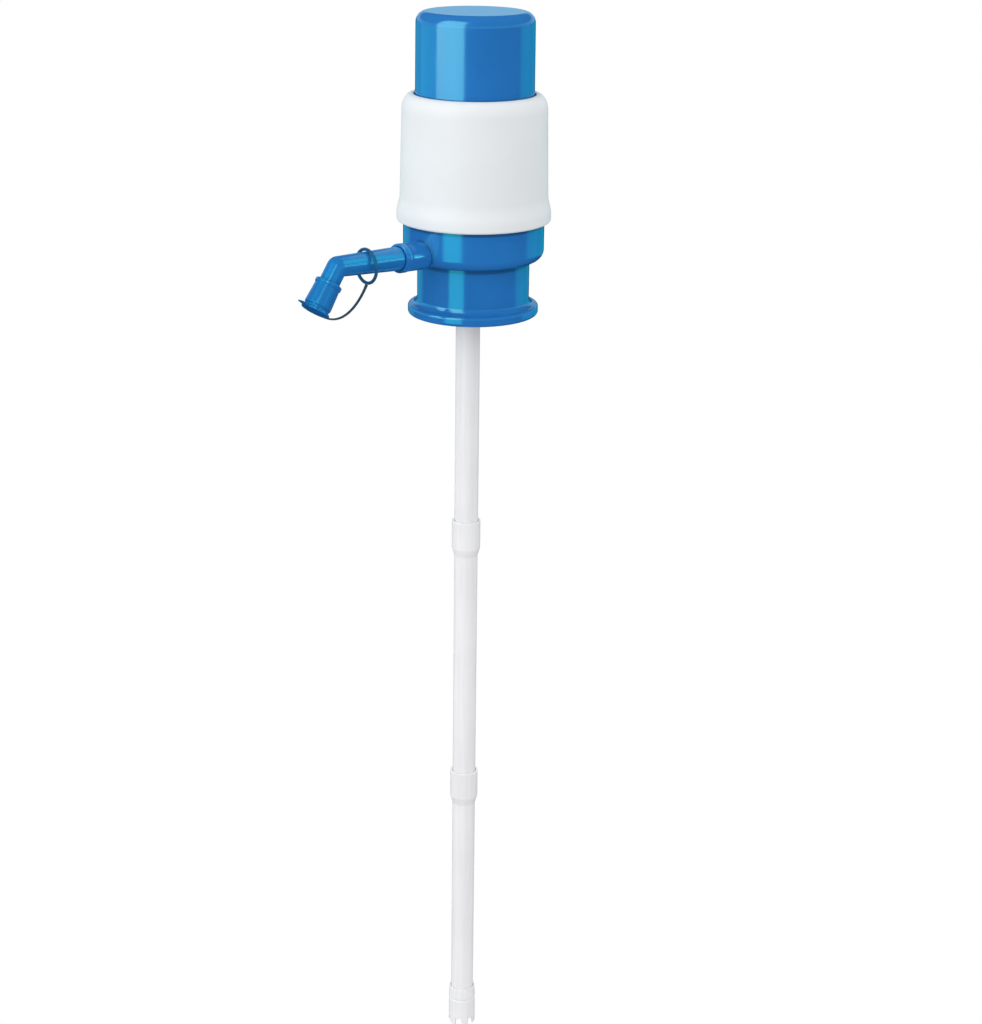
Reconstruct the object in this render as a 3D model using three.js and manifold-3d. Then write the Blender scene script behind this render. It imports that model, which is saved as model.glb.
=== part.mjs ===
// Hand pump for a large water jug. Pressing the cap squeezes a bellows, which pushes air into
// the jug. The air lifts the water up a three-piece tube and out of a swivelling spout.
// Millimetres, +Z up, spout towards -Y. The origin is the centre of the jug's rim, at the
// gasket's underside.

import * as THREE from 'three';
import { mergeVertices } from 'three/addons/utils/BufferGeometryUtils.js';
import Module from 'manifold-3d';

// Fits shared by all pieces
const seatGap = 0.3;
const overrun = 2;

// How finely round pieces are faceted
const headFacets = 32;
const innerFacets = 16;
const pipeFacets = 20;
const tubeFacets = 16;
const smallFacets = 8;
const roundSteps = 3;

// Neck skirt: the waist and the bell-shaped rim over the jug's neck
const waistRadius = 29.5;
const skirtWall = 1.3;
const skirtBeadHeight = 0.4;
const skirtBeadWidth = 1;
const skirtBeadDrop = 1.2;
const skirtFilletRadius = 3.4;
const skirtRimLand = 1.5;
const skirtRimRound = 1.4;
const skirtRimHeight = 5.1;
const skirtFootZ = -26.4;
const skirtFootWall = 2.2;
const gripLedge = 0.6;
const gripLedgeHeight = 1.2;

// Grip sleeve and gasket, which hold and seal the jug's neck
const gripWall = 0.7;
const gripRibHeight = 0.4;
const gripRibWidth = 1.1;
const gripRibCount = 4;
const gasketThickness = 2;
const gasketWidth = 5.5;

// Base: the blue ring with its floor, water duct and spout boss
const ringWall = 2.4;
const ringFootRise = 0.3;
const ringFootLand = 1.7;
const ringRoundRise = 5.5;
const ringInnerReach = 3.4;
const ringInnerRise = 3;
const floorThickness = 2.5;
const collarSeatZ = 27;
const spigotStep = 0.8;
const spigotTopZ = 36;
const spigotWall = 2.2;
const portRadius = 3.6;
const portPitchRadius = 14;
const portSpreadDegrees = 50;
const floorRibThickness = 1.5;
const floorRibHeight = 4.2;
const floorRibDegrees = [-30, 15, 65, 115, 165, 210];

// Water way: nipple under the floor, riser, and the duct along the spout's axis
const tubeOffset = 3.5;
const nippleLength = 16;
const nippleChamfer = 0.8;
const nippleWall = 1.85;
const armDip = 0.15;
const armSlopeDegrees = 2.7;
const ductBoreRadius = 4;
const ductWall = 1.4;
const bossWall = 1.1;
const bossBeadStep = 0.3;
const bossBeadLength = 3.6;
const bossEnd = 53.6;
const socketDepth = 12.2;
const socketRadius = 6.1;

// Spout: plug in the boss, tapered arm, mitred elbow and outlet leg
const plugGrooveDepth = 1;
const plugGrooveWidth = 1.8;
const plugGroovePlace = 4.5;
const legRadius = 5.2;
const spoutBoreRadius = 3.8;
const elbowPlace = 93.9;
const legSlopeDegrees = 53.9;
const legLength = 23.7;
const oRingSection = 0.45;

// Nozzle cap: push-on sleeve with a groove, a flange and a thumb tab
const nozzleCapDepth = 14.9;
const nozzleCapWall = 0.95;
const nozzleCapSwell = 0.55;
const nozzleCapBead = 0.45;
const nozzleCapBeadLength = 1.8;
const nozzleGrooveLength = 1;
const flangeReach = 1;
const flangeThickness = 1.2;
const tabReach = 4;
const tabWidth = 5.2;

// Tether: a loose hoop round the arm and a strap to the nozzle cap
const hoopPlace = 74.8;
const hoopRadius = 8.5;
const hoopSection = 0.85;
const hoopTurnDegrees = -5;
const strapThickness = 1.3;
const strapWidth = 2.2;
const strapLeaveReach = 5.2;
const strapLeaveDrop = 9.2;
const strapArriveReach = 11.8;
const strapArriveDrop = 6.1;
const strapSteps = 14;
const strapSectionShares = [
  [-1, -0.5], [-0.7, -1], [0.7, -1], [1, -0.5], [1, 0.5], [0.7, 1], [-0.7, 1], [-1, 0.5],
];

// Collar: the white outer sleeve
const collarFootZ = 23.1;
const collarTopZ = 88.2;
const collarHoleGap = 0.7;
const collarHoleLand = 1;
const collarWall = 1.9;
const collarFlareReach = 1.7;
const collarFlareZ = 26.4;
const collarFlareTopZ = 37;
const collarLipRound = 1.2;
const collarTaper = 1;
const collarShoulderReach = 5.2;
const collarShoulderRise = 8.2;
const collarRingStep = 1.7;
const collarSkirtGap = 0.5;
const guideLipWall = 1.6;
const guideLipDepth = 5.6;

// Press cap
const capTopZ = 129.2;
const capFootRadius = 30.7;
const capDraft = 0.3;
const capWall = 2.2;
const capCrownRound = 5.6;
const capInnerRound = 3.4;
const capFlangeReach = 3.7;
const capFlangeThickness = 2.2;
const capFootDepth = 1.5;
const capRibCount = 8;
const capRibHeight = 1.5;
const capRibThickness = 1.2;
const capRibInnerRadius = 8;

// Valve deck, bellows plate and their valves
const sealThickness = 1;
const deckThickness = 2.1;
const deckEdgeGap = 0.3;
const deckLipDepth = 3.4;
const deckLipWall = 1.8;
const plateThickness = 2.2;
const plateEdgeGap = 2.5;
const cuffInset = 2.7;
const cuffBossWall = 2;
const cuffBossHeight = 6.3;
const valveRadius = 9;
const valveRimThickness = 0.9;
const valveCrownThickness = 1.7;
const valveStemRadius = 1.3;
const valveBulbRadius = 2.1;
const valveBulbHeight = 0.9;
const airHoleRadius = 1.8;
const airHolePitchRadius = 5.6;
const airHoleCount = 4;

// Bellows and its two clamp rings
const bellowsWall = 1.2;
const foldEdgeGap = 1.3;
const foldDepth = 5;
const foldCount = 7;
const cuffHeight = 6.2;
const clampWall = 2;
const clampHeight = 4.8;

// Dip tube: three push-fit sections, each belled at its top end, and a notched foot
const tubeRadius = 6.45;
const tubeWall = 1.2;
const bellWall = 1.05;
const bellDepth = 16;
const bellTaper = 4.5;
const bellRimRound = 0.5;
const middleRimZ = -142.6;
const lowerRimZ = -294.5;
const lowerTubeEndZ = -451.6;
const footWall = 0.95;
const footGrip = 14.6;
const footTaper = 6;
const footEdgeWall = 0.5;
const footGrooveRise = 0.8;
const footGrooveHeight = 1.1;
const footGrooveDepth = 0.4;
const footReach = 9.7;
const footStopHeight = 1.4;
const footNotchCount = 3;
const footNotchWidth = 3.6;
const footNotchDepth = 3.3;

// Finishes
const bluePlastic = { color: 0x2769b3, roughness: 0.3, metalness: 0 };
const whitePlastic = { color: 0xe7edee, roughness: 0.42, metalness: 0 };
const milkyPlastic = { color: 0xe4e4e7, roughness: 0.38, metalness: 0 };
const softBlue = { color: 0x1f5c9f, roughness: 0.5, metalness: 0 };
const paleBellows = { color: 0xd9dee0, roughness: 0.55, metalness: 0 };
const greyRubber = { color: 0x8f9598, roughness: 0.75, metalness: 0 };
const clearSilicone = { color: 0xe9e4da, roughness: 0.5, metalness: 0 };

const wasm = await Module();
wasm.setup();

const model = new THREE.Group();

// Drops normals and uvs, joins equal corners and leaves out triangles with no area
function welded(geometry) {
  geometry.deleteAttribute('normal');
  geometry.deleteAttribute('uv');
  const merged = mergeVertices(geometry);
  const corners = merged.index.array;
  const kept = [];
  for (let i = 0; i < corners.length; i += 3) {
    const [a, b, c] = corners.slice(i, i + 3);
    if (a !== b && b !== c && c !== a) {
      kept.push(a, b, c);
    }
  }
  merged.setIndex(kept);
  return merged;
}

function solid(geometry) {
  const shape = welded(geometry);
  return new wasm.Manifold(new wasm.Mesh({
    numProp: 3,
    vertProperties: shape.attributes.position.array,
    triVerts: Uint32Array.from(shape.index.array),
  }));
}

function geometryOf(shape) {
  const mesh = shape.getMesh();
  const geometry = new THREE.BufferGeometry();
  geometry.setAttribute('position', new THREE.BufferAttribute(mesh.vertProperties, 3));
  geometry.setIndex(new THREE.BufferAttribute(mesh.triVerts, 1));
  return geometry;
}

function add(name, geometry, finish) {
  const mesh = new THREE.Mesh(welded(geometry), new THREE.MeshStandardMaterial(finish));
  mesh.name = name;
  model.add(mesh);
}

function addSolid(name, shape, finish) {
  add(name, geometryOf(shape), finish);
}

// An outline of [radius, height] points, anticlockwise, turned about the Z axis. One that
// doesn't start on the axis is closed on itself.
function turned(outline, facets) {
  const points = outline.map(([radius, height]) => new THREE.Vector2(radius, height));
  if (outline[0][0] > 0) {
    points.push(points[0].clone());
  }
  return new THREE.LatheGeometry(points, facets).rotateX(Math.PI / 2);
}

// Points along an elliptical arc between two angles
function arc([radius, height], [reach, rise], fromDegrees, toDegrees, steps = roundSteps) {
  return Array.from({ length: steps + 1 }, (_, i) => {
    const angle = THREE.MathUtils.degToRad(fromDegrees + (toDegrees - fromDegrees) * i / steps);
    return [radius + reach * Math.cos(angle), height + rise * Math.sin(angle)];
  });
}

// A plain or tapered rod between two heights
function rod(radius, fromZ, toZ, facets, topRadius = radius) {
  return turned([[0, fromZ], [radius, fromZ], [topRadius, toZ], [0, toZ]], facets);
}

function box(width, depth, height, [x, y, z]) {
  return new THREE.BoxGeometry(width, depth, height).translate(x, y, z);
}

function minus(shape, cutters) {
  return cutters.reduce((rest, cutter) => rest.subtract(solid(cutter)), shape);
}

function plus(shape, parts) {
  return parts.reduce((whole, part) => whole.add(solid(part)), shape);
}

// Neck places
const skirtFilletZ = skirtFootZ + skirtRimHeight + skirtFilletRadius;
const skirtRimRadius = waistRadius + skirtFilletRadius + skirtRimLand;
const skirtBoreRadius = waistRadius - skirtWall;
const floorUnderZ = gasketThickness + seatGap;
const ringFootZ = floorUnderZ + ringFootRise;
const skirtTopZ = ringFootZ - seatGap;
const skirtBeadZ = skirtTopZ - skirtBeadDrop;
const gripOuterRadius = skirtBoreRadius - seatGap;
const gripBoreRadius = gripOuterRadius - gripWall;
const gasketOuterRadius = gripBoreRadius - gripRibHeight - seatGap;

// The cap's radius gives the collar, the ring and the bellows theirs
const capTopRadius = capFootRadius - capDraft;
const capBoreRadius = capFootRadius - capWall;
const collarHoleRadius = capFootRadius + collarHoleGap;
const collarShoulderRadius = collarHoleRadius + collarHoleLand + collarShoulderReach;
const collarShoulderZ = collarTopZ - collarShoulderRise;
const collarWaistRadius = collarShoulderRadius + collarTaper;
const collarFlareRadius = collarWaistRadius + collarFlareReach;
const ringRadius = collarWaistRadius - collarRingStep;
const collarSpigotRadius = ringRadius - spigotStep;
const spigotBoreRadius = collarSpigotRadius - spigotWall;
const plateRadius = capBoreRadius - plateEdgeGap;
const foldOuterRadius = capBoreRadius - foldEdgeGap;
const foldInnerRadius = foldOuterRadius - foldDepth;
const cuffBossRadius = foldInnerRadius - cuffInset;

// Heights in the head
const floorTopZ = floorUnderZ + floorThickness;
const sealZ = spigotTopZ + seatGap;
const deckUnderZ = sealZ + sealThickness + seatGap;
const deckTopZ = deckUnderZ + deckThickness;
const deckRadius = collarSpigotRadius - deckEdgeGap;
const flangeTopZ = collarTopZ - guideLipDepth - seatGap;
const capFootZ = flangeTopZ - capFlangeThickness - capFootDepth;
const capCeilingZ = capTopZ - capWall;
const plateTopZ = capCeilingZ - capRibHeight - seatGap;
const plateUnderZ = plateTopZ - plateThickness;

// Water way and tube
const nippleBoreRadius = tubeRadius - nippleWall;
const nippleEndZ = floorUnderZ - nippleLength;
const ductRadius = ductBoreRadius + ductWall;
const armHeight = floorUnderZ + ductRadius - armDip;
const bossRadius = socketRadius + bossWall;
const flangeRadius = legRadius + seatGap + nozzleCapWall + flangeReach;
const bellRadius = tubeRadius + seatGap;
const upperRimZ = floorUnderZ - seatGap;
const footTopZ = lowerTubeEndZ + footGrip;
const footGrooveZ = lowerTubeEndZ + footGrooveRise;
const footEndZ = lowerTubeEndZ - footReach;

// The spout's arm and outlet leg each have a frame whose Z runs outwards along the pipe
const armDirection = new THREE.Vector3(0, -1, 0)
  .applyAxisAngle(new THREE.Vector3(-1, 0, 0), THREE.MathUtils.degToRad(armSlopeDegrees));
const legDirection = new THREE.Vector3(0, -1, 0)
  .applyAxisAngle(new THREE.Vector3(1, 0, 0), THREE.MathUtils.degToRad(legSlopeDegrees));

function frameAlong(direction, origin) {
  const side = new THREE.Vector3(1, 0, 0);
  const other = new THREE.Vector3().crossVectors(direction, side);
  return new THREE.Matrix4().makeBasis(side, other, direction).setPosition(origin);
}

const armOrigin = new THREE.Vector3(0, 0, armHeight);
const armFrame = frameAlong(armDirection, armOrigin);
const elbow = armOrigin.clone().addScaledVector(armDirection, elbowPlace);
const legFrame = frameAlong(legDirection, elbow);

// The blue waist and bell rim. Its bore has a groove that snaps over the base's seat ring
function neckSkirt() {
  const ledgeTopZ = skirtFilletZ + gripLedgeHeight;
  const rimTopZ = skirtFilletZ - skirtFilletRadius;
  const innerFilletRadius = skirtFilletRadius + skirtWall;
  const recessHalf = skirtBeadWidth / 2 + seatGap;
  const footInnerRadius = skirtRimRadius - skirtFootWall;
  const outline = [
    [footInnerRadius, skirtFootZ],
    ...arc([skirtRimRadius - skirtRimRound, skirtFootZ + skirtRimRound],
      [skirtRimRound, skirtRimRound], -90, 0),
    ...arc([skirtRimRadius - skirtRimRound, rimTopZ - skirtRimRound],
      [skirtRimRound, skirtRimRound], 0, 90),
    ...arc([waistRadius + skirtFilletRadius, skirtFilletZ],
      [skirtFilletRadius, skirtFilletRadius], 265, 180, roundSteps + 2),
    [waistRadius, skirtTopZ],
    [skirtBoreRadius, skirtTopZ],
    [skirtBoreRadius, skirtBeadZ + recessHalf],
    [skirtBoreRadius + skirtBeadHeight, skirtBeadZ],
    [skirtBoreRadius, skirtBeadZ - recessHalf],
    [skirtBoreRadius, ledgeTopZ],
    [skirtBoreRadius - gripLedge, ledgeTopZ - gripLedge],
    ...arc([skirtBoreRadius + innerFilletRadius, skirtFilletZ],
      [innerFilletRadius + gripLedge, innerFilletRadius], 180, 240),
  ];
  return turned(outline, headFacets);
}

// Soft sleeve with ribs that press on the jug's neck
function neckGripSleeve() {
  const topZ = -seatGap;
  const footZ = skirtFilletZ + gripLedgeHeight + seatGap;
  const pitch = (topZ - footZ) / gripRibCount;
  const ribs = Array.from({ length: gripRibCount }, (_, i) => {
    const middle = topZ - pitch * (i + 0.5);
    return [
      [gripBoreRadius, middle + gripRibWidth / 2],
      [gripBoreRadius - gripRibHeight, middle],
      [gripBoreRadius, middle - gripRibWidth / 2],
    ];
  }).flat();
  const outline = [
    [gripBoreRadius, footZ],
    [gripOuterRadius, footZ],
    [gripOuterRadius, topZ],
    [gripBoreRadius, topZ],
    ...ribs,
  ];
  return turned(outline, innerFacets);
}

function flatRing(innerRadius, outerRadius, fromZ, toZ) {
  const outline = [
    [innerRadius, fromZ], [outerRadius, fromZ], [outerRadius, toZ], [innerRadius, toZ],
  ];
  return turned(outline, innerFacets);
}

// The base as moulded: ring, floor, seat ring for the skirt, spigot for the collar, duct, riser,
// nipple and boss
function baseBody() {
  const seatRingInner = gasketOuterRadius + seatGap;
  const seatRingOuter = skirtBoreRadius - seatGap;
  const ringBore = ringRadius - ringWall;
  const roundReach = ringRadius - waistRadius - ringFootLand;
  const outline = [
    [0, floorUnderZ],
    [seatRingInner, floorUnderZ],
    [seatRingInner, seatGap],
    [seatRingOuter, seatGap],
    [seatRingOuter, skirtBeadZ - skirtBeadWidth / 2],
    [seatRingOuter + skirtBeadHeight, skirtBeadZ],
    [seatRingOuter, skirtBeadZ + skirtBeadWidth / 2],
    [seatRingOuter, ringFootZ],
    ...arc([ringRadius - roundReach, ringFootZ + ringRoundRise],
      [roundReach, ringRoundRise], -90, 0, roundSteps + 2),
    [ringRadius, collarSeatZ],
    [collarSpigotRadius, collarSeatZ],
    [collarSpigotRadius, spigotTopZ],
    [spigotBoreRadius, spigotTopZ],
    [spigotBoreRadius, collarSeatZ],
    ...arc([ringBore - ringInnerReach, floorTopZ + ringInnerRise],
      [ringInnerReach, ringInnerRise], 0, -90),
    [0, floorTopZ],
  ];
  const riserTopZ = armHeight + ductRadius;
  const riser = turned([
    [0, nippleEndZ],
    [tubeRadius - nippleChamfer, nippleEndZ],
    [tubeRadius, nippleEndZ + nippleChamfer],
    [tubeRadius, armHeight],
    ...arc([0, armHeight], [tubeRadius, ductRadius], 0, 90).slice(1, -1),
    [0, riserTopZ],
  ], pipeFacets).translate(0, -tubeOffset, 0);
  const duct = rod(ductRadius, tubeOffset, ringBore + ringWall / 2, pipeFacets);
  const bossStart = ringRadius - roundReach;
  const boss = turned([
    [0, bossStart],
    [bossRadius, bossStart],
    [bossRadius, bossEnd - bossBeadLength],
    [bossRadius + bossBeadStep, bossEnd - bossBeadLength],
    [bossRadius + bossBeadStep, bossEnd],
    [0, bossEnd],
  ], pipeFacets);
  const ribLength = spigotBoreRadius - tubeOffset;
  const ribs = floorRibDegrees.map((degrees) =>
    box(ribLength, floorRibThickness, floorRibHeight,
      [tubeOffset + ribLength / 2, 0, floorTopZ + floorRibHeight / 2])
      .rotateZ(THREE.MathUtils.degToRad(degrees)));
  const body = plus(solid(turned(outline, headFacets)), [
    riser,
    duct.applyMatrix4(armFrame),
    boss.applyMatrix4(armFrame),
    ...ribs,
  ]);
  const riserBore = rod(nippleBoreRadius, nippleEndZ - overrun, armHeight, pipeFacets)
    .translate(0, -tubeOffset, 0);
  const ductBore = rod(ductBoreRadius, tubeOffset, bossEnd, pipeFacets);
  const socket = rod(socketRadius, bossEnd - socketDepth, bossEnd + overrun, pipeFacets);
  const ports = [-portSpreadDegrees, 0, portSpreadDegrees].map((degrees) =>
    rod(portRadius, floorUnderZ - overrun, floorTopZ + overrun + floorRibHeight, smallFacets)
      .translate(0, portPitchRadius, 0)
      .rotateZ(THREE.MathUtils.degToRad(degrees)));
  return minus(body, [
    riserBore,
    ductBore.applyMatrix4(armFrame),
    socket.applyMatrix4(armFrame),
    ...ports,
  ]);
}

// The white sleeve: flared foot, tapered wall, rounded shoulder and a lip that guides the cap
function collarSleeve() {
  const seatBore = collarSpigotRadius + seatGap;
  const skirtBore = ringRadius + collarSkirtGap;
  const shoulderCentre = collarShoulderRadius - collarShoulderReach;
  const flare = Array.from({ length: roundSteps + 1 }, (_, i) => {
    const share = i / roundSteps;
    const reach = collarFlareReach * (1 + Math.cos(Math.PI * share)) / 2;
    return [collarWaistRadius + reach, collarFlareZ + (collarFlareTopZ - collarFlareZ) * share];
  });
  const outline = [
    [skirtBore, collarFootZ],
    ...arc([collarFlareRadius - collarLipRound, collarFootZ + collarLipRound],
      [collarLipRound, collarLipRound], -90, 0),
    ...flare,
    ...arc([shoulderCentre, collarShoulderZ], [collarShoulderReach, collarShoulderRise],
      0, 90, roundSteps + 3),
    [collarHoleRadius, collarTopZ],
    [collarHoleRadius, collarTopZ - guideLipDepth],
    [collarHoleRadius + guideLipWall, collarTopZ - guideLipDepth],
    ...arc([shoulderCentre, collarShoulderZ],
      [collarShoulderReach - collarWall, collarShoulderRise - collarWall], 78, 0),
    [seatBore, collarFlareTopZ],
    [seatBore, collarSeatZ + seatGap],
    [skirtBore, collarSeatZ + seatGap],
  ];
  return turned(outline, headFacets);
}

// The cap: crowned shell, a flange that stops it under the guide lip, and ribs on its ceiling
function pressCap() {
  const outline = [
    [0, capCeilingZ],
    ...arc([capBoreRadius - capInnerRound, capCeilingZ - capInnerRound],
      [capInnerRound, capInnerRound], 90, 0),
    [capBoreRadius, capFootZ],
    [capFootRadius, capFootZ],
    [capFootRadius, flangeTopZ - capFlangeThickness],
    [capFootRadius + capFlangeReach, flangeTopZ - capFlangeThickness],
    [capFootRadius + capFlangeReach, flangeTopZ],
    [capFootRadius, flangeTopZ],
    ...arc([capTopRadius - capCrownRound, capTopZ - capCrownRound],
      [capCrownRound, capCrownRound], 0, 90, roundSteps + 2),
    [0, capTopZ],
  ];
  const ribLength = plateRadius - capRibInnerRadius;
  const ribHeight = capRibHeight + capWall / 2;
  const ribs = Array.from({ length: capRibCount }, (_, i) =>
    box(ribLength, capRibThickness, ribHeight,
      [capRibInnerRadius + ribLength / 2, 0, capCeilingZ - capRibHeight + ribHeight / 2])
      .rotateZ(2 * Math.PI * i / capRibCount));
  return plus(solid(turned(outline, headFacets)), ribs);
}

// Air holes round a valve's stem
function airHoles(fromZ, toZ) {
  return Array.from({ length: airHoleCount }, (_, i) =>
    rod(airHoleRadius, fromZ - overrun, toZ + overrun, smallFacets)
      .translate(airHolePitchRadius, 0, 0)
      .rotateZ(2 * Math.PI * (i + 0.5) / airHoleCount));
}

// Umbrella valve: a canopy that covers the air holes from below, and a stem through the plate
function umbrellaValve(underZ, topZ) {
  const rimZ = underZ - seatGap;
  const bulbZ = topZ + seatGap;
  const outline = [
    [0, rimZ - valveCrownThickness],
    [valveRadius - valveCrownThickness, rimZ - valveRimThickness],
    [valveRadius, rimZ - valveRimThickness / 2],
    [valveRadius, rimZ],
    [valveStemRadius, rimZ],
    [valveStemRadius, bulbZ],
    [valveBulbRadius, bulbZ],
    [valveStemRadius, bulbZ + valveBulbHeight],
    [0, bulbZ + valveBulbHeight],
  ];
  return turned(outline, innerFacets);
}

// Plate over the base: carries the outlet valve and, on its raised boss, the bellows
function valveDeck() {
  const stemHole = valveStemRadius + seatGap;
  const lipOuter = spigotBoreRadius - seatGap;
  const outline = [
    [stemHole, deckUnderZ],
    [lipOuter - deckLipWall, deckUnderZ],
    [lipOuter - deckLipWall, deckUnderZ - deckLipDepth],
    [lipOuter, deckUnderZ - deckLipDepth],
    [lipOuter, deckUnderZ],
    [deckRadius, deckUnderZ],
    [deckRadius, deckTopZ],
    [cuffBossRadius, deckTopZ],
    [cuffBossRadius, deckTopZ + cuffBossHeight],
    [cuffBossRadius - cuffBossWall, deckTopZ + cuffBossHeight],
    [cuffBossRadius - cuffBossWall, deckTopZ],
    [stemHole, deckTopZ],
  ];
  return minus(solid(turned(outline, innerFacets)), airHoles(deckUnderZ, deckTopZ));
}

// Plate under the cap's ceiling: carries the intake valve and the bellows' upper cuff
function bellowsTopDisc() {
  const stemHole = valveStemRadius + seatGap;
  const outline = [
    [stemHole, plateUnderZ],
    [cuffBossRadius - cuffBossWall, plateUnderZ],
    [cuffBossRadius - cuffBossWall, plateUnderZ - cuffBossHeight],
    [cuffBossRadius, plateUnderZ - cuffBossHeight],
    [cuffBossRadius, plateUnderZ],
    [plateRadius, plateUnderZ],
    [plateRadius, plateTopZ],
    [stemHole, plateTopZ],
  ];
  return minus(solid(turned(outline, innerFacets)), airHoles(plateUnderZ, plateTopZ));
}

// Bellows: a cuff at each end and folds of even pitch between them, with one wall throughout
function bellows() {
  const footZ = deckTopZ + seatGap;
  const topZ = plateUnderZ - seatGap;
  const cuffBore = cuffBossRadius + seatGap;
  const cuffOuter = cuffBore + bellowsWall;
  const foldsZ = footZ + cuffHeight;
  const pitch = (topZ - footZ - 2 * cuffHeight) / foldCount;
  const folds = Array.from({ length: foldCount }, (_, i) => {
    const start = foldsZ + pitch * i;
    return [
      [foldOuterRadius, start + pitch * 3 / 8],
      [foldOuterRadius, start + pitch * 5 / 8],
      [foldInnerRadius, start + pitch],
    ];
  }).flat().slice(0, -1);
  const inside = folds.map(([radius, height]) => [radius - bellowsWall, height]).reverse();
  const outline = [
    [cuffBore, footZ],
    [cuffOuter, footZ],
    [cuffOuter, foldsZ],
    ...folds,
    [cuffOuter, topZ - cuffHeight],
    [cuffOuter, topZ],
    [cuffBore, topZ],
    [cuffBore, topZ - cuffHeight],
    ...inside,
    [cuffBore, foldsZ],
  ];
  return turned(outline, innerFacets);
}

// Pipe along the arm and the outlet leg, with a round outer corner where they meet
function spoutRun(rootPlace, rootRadius, radius, endPlace) {
  const arm = rod(rootRadius, rootPlace, elbowPlace, pipeFacets, radius).applyMatrix4(armFrame);
  const corner = new THREE.SphereGeometry(radius, pipeFacets, pipeFacets / 2)
    .rotateX(Math.PI / 2)
    .applyMatrix4(armFrame)
    .translate(elbow.x - armOrigin.x, elbow.y - armOrigin.y, elbow.z - armOrigin.z);
  const leg = rod(radius, 0, endPlace, pipeFacets).applyMatrix4(legFrame);
  return plus(solid(arm), [corner, leg]);
}

function spoutPipe() {
  const plugStart = bossEnd - socketDepth + seatGap;
  const shoulder = bossEnd + seatGap;
  const plugRadius = socketRadius - seatGap;
  const grooveRadius = plugRadius - plugGrooveDepth;
  const grooveStart = plugStart + plugGroovePlace;
  const plug = turned([
    [0, plugStart],
    [plugRadius, plugStart],
    [plugRadius, grooveStart],
    [grooveRadius, grooveStart],
    [grooveRadius, grooveStart + plugGrooveWidth],
    [plugRadius, grooveStart + plugGrooveWidth],
    [plugRadius, shoulder + seatGap],
    [0, shoulder + seatGap],
  ], pipeFacets).applyMatrix4(armFrame);
  const outside = plus(spoutRun(shoulder, socketRadius, legRadius, legLength), [plug]);
  return outside.subtract(
    spoutRun(plugStart - overrun, spoutBoreRadius, spoutBoreRadius, legLength + overrun));
}

function spoutORing() {
  const middle = bossEnd - socketDepth + seatGap + plugGroovePlace + plugGrooveWidth / 2;
  const radius = socketRadius - (seatGap + plugGrooveDepth) / 2;
  return new THREE.TorusGeometry(radius, oRingSection, smallFacets / 2, pipeFacets)
    .translate(0, 0, middle)
    .applyMatrix4(armFrame);
}

// Push-on sleeve over the outlet, closed by a flange with a thumb tab
function nozzleCap() {
  const bore = legRadius + seatGap;
  const mouth = bore + nozzleCapWall;
  const endZ = legLength + seatGap;
  const openZ = endZ - nozzleCapDepth;
  const grooveZ = endZ - nozzleGrooveLength;
  const cup = turned([
    [0, endZ],
    [bore, endZ],
    [bore, openZ],
    [mouth + nozzleCapBead, openZ],
    [mouth + nozzleCapBead, openZ + nozzleCapBeadLength],
    [mouth, openZ + nozzleCapBeadLength + nozzleCapBead],
    [mouth + nozzleCapSwell, grooveZ],
    [mouth, grooveZ],
    [mouth, endZ],
    [flangeRadius, endZ],
    [flangeRadius, endZ + flangeThickness],
    [0, endZ + flangeThickness],
  ], pipeFacets);
  const tabLength = tabReach + flangeRadius / 2;
  const tab = box(tabWidth, tabLength, flangeThickness,
    [0, flangeRadius + tabReach - tabLength / 2, endZ + flangeThickness / 2]);
  return plus(solid(cup), [tab]).intersect(solid(
    rod(flangeRadius + tabReach, openZ - overrun, endZ + flangeThickness + overrun, pipeFacets)));
}

const towardsHead = new THREE.Vector3(0, -1, 0).transformDirection(legFrame);
const legEnd = new THREE.Vector3(0, 0, legLength + seatGap + flangeThickness / 2)
  .applyMatrix4(legFrame);
const hoopArmPoint = armOrigin.clone().addScaledVector(armDirection, hoopPlace);
const armRadiusAtHoop = socketRadius
  + (legRadius - socketRadius) * (hoopPlace - bossEnd) / (elbowPlace - bossEnd);
const hoopBoreRadius = hoopRadius - hoopSection;
const hoopCentre = hoopArmPoint.clone()
  .add(new THREE.Vector3(0, 0, armRadiusAtHoop + seatGap - hoopBoreRadius));

function tetherRing() {
  return new THREE.TorusGeometry(hoopRadius, hoopSection, smallFacets, pipeFacets)
    .rotateX(Math.PI / 2)
    .rotateZ(THREE.MathUtils.degToRad(hoopTurnDegrees))
    .translate(hoopCentre.x, hoopCentre.y, hoopCentre.z);
}

// Strap from the hoop's lowest point to the near edge of the nozzle cap's flange
function tetherStrap() {
  const flangeEdge = legEnd.clone()
    .addScaledVector(towardsHead, flangeRadius + seatGap + strapThickness / 8);
  const root = hoopCentre.clone()
    .add(new THREE.Vector3(0, 0, -(hoopRadius + hoopSection + seatGap + strapThickness / 4)));
  const path = new THREE.CubicBezierCurve3(
    root,
    root.clone().add(new THREE.Vector3(0, -strapLeaveReach, -strapLeaveDrop)),
    flangeEdge.clone().add(new THREE.Vector3(0, strapArriveReach, -strapArriveDrop)),
    flangeEdge,
  );
  const half = [strapWidth / 2, strapThickness / 2];
  const section = new THREE.Shape(strapSectionShares.map(([across, through]) =>
    new THREE.Vector2(half[0] * across, half[1] * through)));
  return new THREE.ExtrudeGeometry(section, { steps: strapSteps, extrudePath: path });
}

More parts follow.
